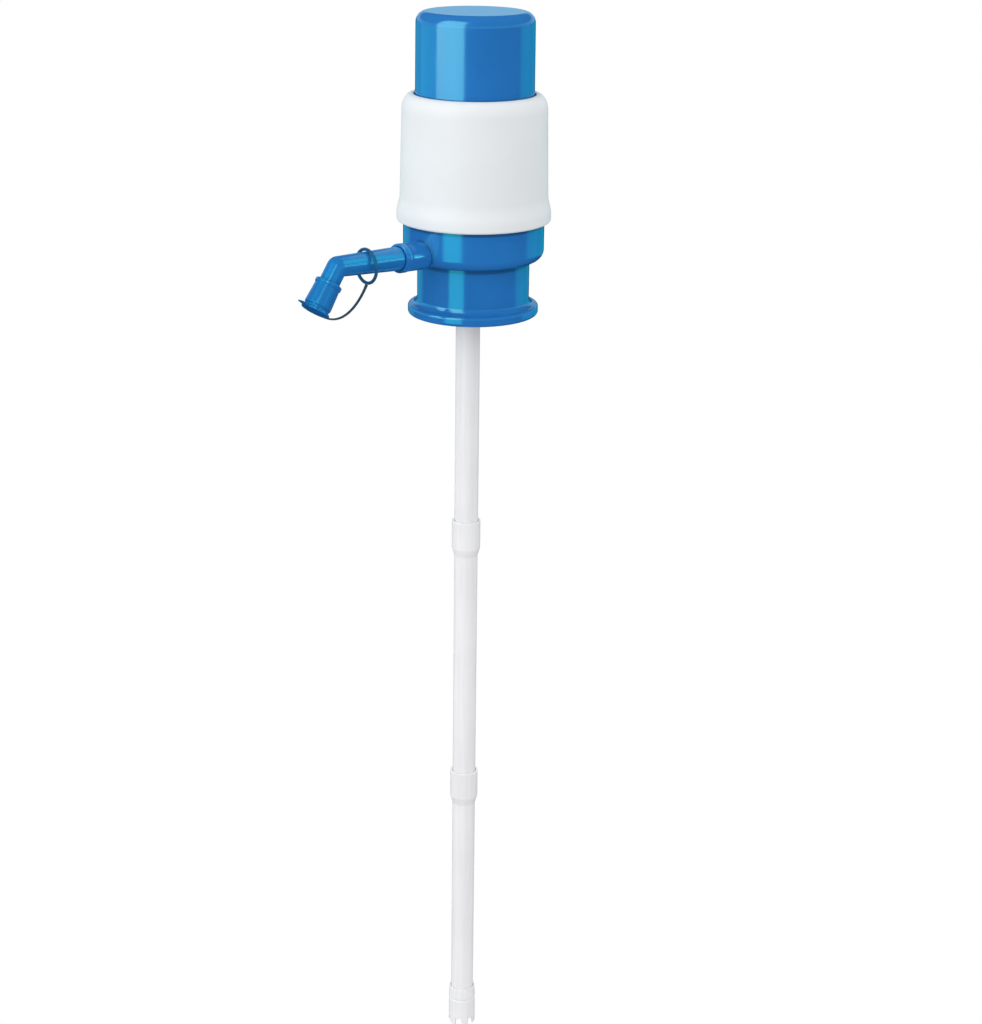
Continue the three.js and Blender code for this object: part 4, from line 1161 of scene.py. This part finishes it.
class PUMP_OT_stage(Operator):
    """Adds the camera, the floor, the even light all round and the soft boxes"""
    bl_idname = "pump.stage"
    bl_label = "Stage"

    def execute(self, context):
        studio = context.scene.pump_studio
        self.camera(context.scene, studio)
        self.world(context.scene, studio)
        self.floor(studio)
        far, turn = studio.panel_distance, studio.camera_turn
        # Left and right are degrees from the camera's own side, low and high are heights
        for name, pieces, left, right, low, high, radiance, tone in (
                ("strip_upper", HEAD, -78, -20, -0.13, 2.2, 3.7, (1, 1, 1)),
                ("strip_lower", HEAD, -49, -18, -0.44, -0.13, 2.5, (0.12, 0.97, 1)),
                ("left_wrap", HEAD, -126, -79, -0.2, 0.1, 1.05, (0.1, 0.95, 1)),
                ("left_far", HEAD, -158, -126, -0.44, 0.1, 0.5, (0.1, 0.95, 1)),
                ("right_edge", HEAD, 97, 127, -0.44, 0.1, 0.72, (0.0, 0.9, 1)),
                ("right_far", HEAD, 127, 160, -0.44, 0.1, 0.5, (0.0, 0.9, 1)),
                ("arm_strip", BOSS + ARM, 80, 96, -0.06, 0.12, 7.0, (0.35, 0.85, 1)),
                ("arm_wrap", BOSS + ARM, 84, 130, 0.12, 1.4, 2.5, (0.1, 0.85, 1)),
                ("leg_strip", ARM, -14, 2, 0.25, 1.2, 5.0, (0.4, 0.9, 1)),
                ("leg_side", ARM, -80, -26, -0.1, 1.4, 1.6, (0.0, 0.9, 1))):
            middle, half = np.radians((left + right) / 2), np.radians((right - left) / 2)
            lamp = soft_box(name, turn + middle, 2 * far * np.tan(half), low, high, far,
                            radiance, "glossy", tone)
            lamp.light_linking.receiver_collection = collection(name + "_pieces", pieces)
        soft_box("key", turn - 0.8, width=1.6, low=-0.4, high=1.3, distance=2.0, radiance=1.0,
                 seen_in="diffuse")
        self.cards(studio)
        return {"FINISHED"}

    def cards(self, studio):
        """Black cards round the pump with a bright band and a dim ceiling, seen only in its
        gloss, as a studio photographer sets them to keep a moulding's edges from washing out."""
        reach, low = studio.card_distance, studio.floor_height + 0.001
        high = studio.card_height
        black, dim, bright = (0.0, 0.0, 0.0, 1), (0.05, 0.12, 0.15, 1), (0.37, 0.66, 0.82, 1)
        band_foot, band_top = (0.1, 0.16), (0.5, 0.6)
        grid = lathe(np.array([(0, low), (reach, low), (reach, high), (0, high)]),
                     around(SEGMENTS))
        obj = mesh_object("cards", skin(grid, poles=True))
        material = bpy.data.materials.new("card_paper")
        recipe = Recipe(material)
        rise = recipe.coordinate(recipe.place(), "Z")
        band = rise.above(*band_foot) * (1 - rise.above(*band_top))
        paper = recipe.mix(rise.above(*band_top), black, dim)
        tone = recipe.mix(band, paper, bright)
        recipe.surface(recipe.glow("ShaderNodeEmission", tone, 1.0))
        obj.data.materials.append(material)
        obj.visible_camera = obj.visible_diffuse = obj.visible_shadow = False
        obj.visible_transmission = obj.visible_volume_scatter = False

    def camera(self, scene, studio):
        eye = bpy.data.cameras.new("camera")
        eye.lens, eye.sensor_width, eye.sensor_fit = studio.lens, 36.0, "AUTO"
        eye.clip_start, eye.clip_end = 0.01, 100
        obj = bpy.data.objects.new("camera", eye)
        scene.collection.objects.link(obj)
        turn, fall, roll = studio.camera_turn, studio.camera_fall, studio.camera_roll
        right = np.array([np.cos(turn), np.sin(turn), 0])
        level = np.array([-np.sin(turn), np.cos(turn), 0])
        up = np.sin(fall) * level + np.array([0, 0, np.cos(fall)])
        ahead = np.cos(fall) * level - np.array([0, 0, np.sin(fall)])
        x, y = np.cos(roll) * right - np.sin(roll) * up, np.sin(roll) * right + np.cos(roll) * up
        place = right * studio.camera_shift - level * studio.distance
        place[2] = studio.camera_height
        made = np.eye(4)
        made[:3, 0], made[:3, 1], made[:3, 2], made[:3, 3] = x, y, -ahead, place
        obj.matrix_world = Matrix(made.tolist())
        scene.camera = obj
        scene.view_settings.view_transform = "Standard"

    def world(self, scene, studio):
        """Even light from all round, behind which the camera sees plain white."""
        world = bpy.data.worlds.new("studio")
        scene.world = world
        recipe = Recipe(world)
        shown = recipe.shown()
        even, white = (recipe.glow("ShaderNodeBackground", (1, 1, 1, 1), strength)
                       for strength in (studio.ambient, 1.0))
        recipe.surface(recipe.mix_shader(shown, even, white), "ShaderNodeOutputWorld")

    def floor(self, studio):
        """White paper that shows to the camera as nearly even light, with a faint shadow."""
        half, z, lines = studio.floor_size / 2, studio.floor_height - 0.0005, 9
        t = np.linspace(-half, half, lines)
        grid = np.stack(np.meshgrid(t, t, indexing="ij"), -1).reshape(-1, 2)
        points = np.concatenate([grid, np.full((len(grid), 1), z)], 1)
        index = np.arange(lines * lines).reshape(lines, lines)
        faces = np.stack([index[:-1, :-1], index[1:, :-1], index[1:, 1:], index[:-1, 1:]], -1)
        obj = mesh_object("floor", (points, faces.reshape(-1, 4).tolist()))
        material = bpy.data.materials.new("floor_paper")
        recipe = Recipe(material)
        grey, brightness, evenness = (0.55, 0.55, 0.55, 1), 1.03, 0.93
        lit = recipe.node("ShaderNodeBsdfDiffuse", {}, {"Color": grey})
        white = recipe.glow("ShaderNodeEmission", (1, 1, 1, 1), brightness)
        recipe.surface(recipe.mix_shader(recipe.shown() * evenness, lit, white))
        obj.data.materials.append(material)


class PUMP_PT_pump(Panel):
    """Lists the pump's pieces"""
    bl_idname = "PUMP_PT_pump"
    bl_label = "Jug hand pump"
    bl_space_type = "VIEW_3D"
    bl_region_type = "UI"
    bl_category = "Pump"

    def draw(self, context):
        for operator in OPERATORS:
            self.layout.operator(operator.bl_idname)
        for group in GROUPS:
            sizes = getattr(context.scene, group)
            for name in sizes.bl_rna.properties.keys():
                if name not in ("rna_type", "name"):
                    self.layout.prop(sizes, name)


OPERATORS = (
    PUMP_OT_press_cap,
    PUMP_OT_collar,
    PUMP_OT_base,
    PUMP_OT_neck,
    PUMP_OT_air_parts,
    PUMP_OT_spout,
    PUMP_OT_outlet_cap,
    PUMP_OT_tether,
    PUMP_OT_tubes,
    PUMP_OT_stage,
)
GROUPS = {
    "pump_head": HeadSizes,
    "pump_spout": SpoutSizes,
    "pump_tube": TubeSizes,
    "pump_finishes": Finishes,
    "pump_studio": StudioSettings,
}


def register():
    for kind in (*GROUPS.values(), *OPERATORS, PUMP_PT_pump):
        bpy.utils.register_class(kind)
    for name, group in GROUPS.items():
        setattr(bpy.types.Scene, name, PointerProperty(type=group))


def unregister():
    for name in GROUPS:
        delattr(bpy.types.Scene, name)
    for kind in (PUMP_PT_pump, *reversed(OPERATORS), *GROUPS.values()):
        bpy.utils.unregister_class(kind)


def main():
    register()
    for operator in OPERATORS:
        group, name = operator.bl_idname.split(".")
        if getattr(getattr(bpy.ops, group), name)() != {"FINISHED"}:
            raise RuntimeError(f"{operator.bl_label} wasn't finished")


if __name__ == "__main__":
    main()
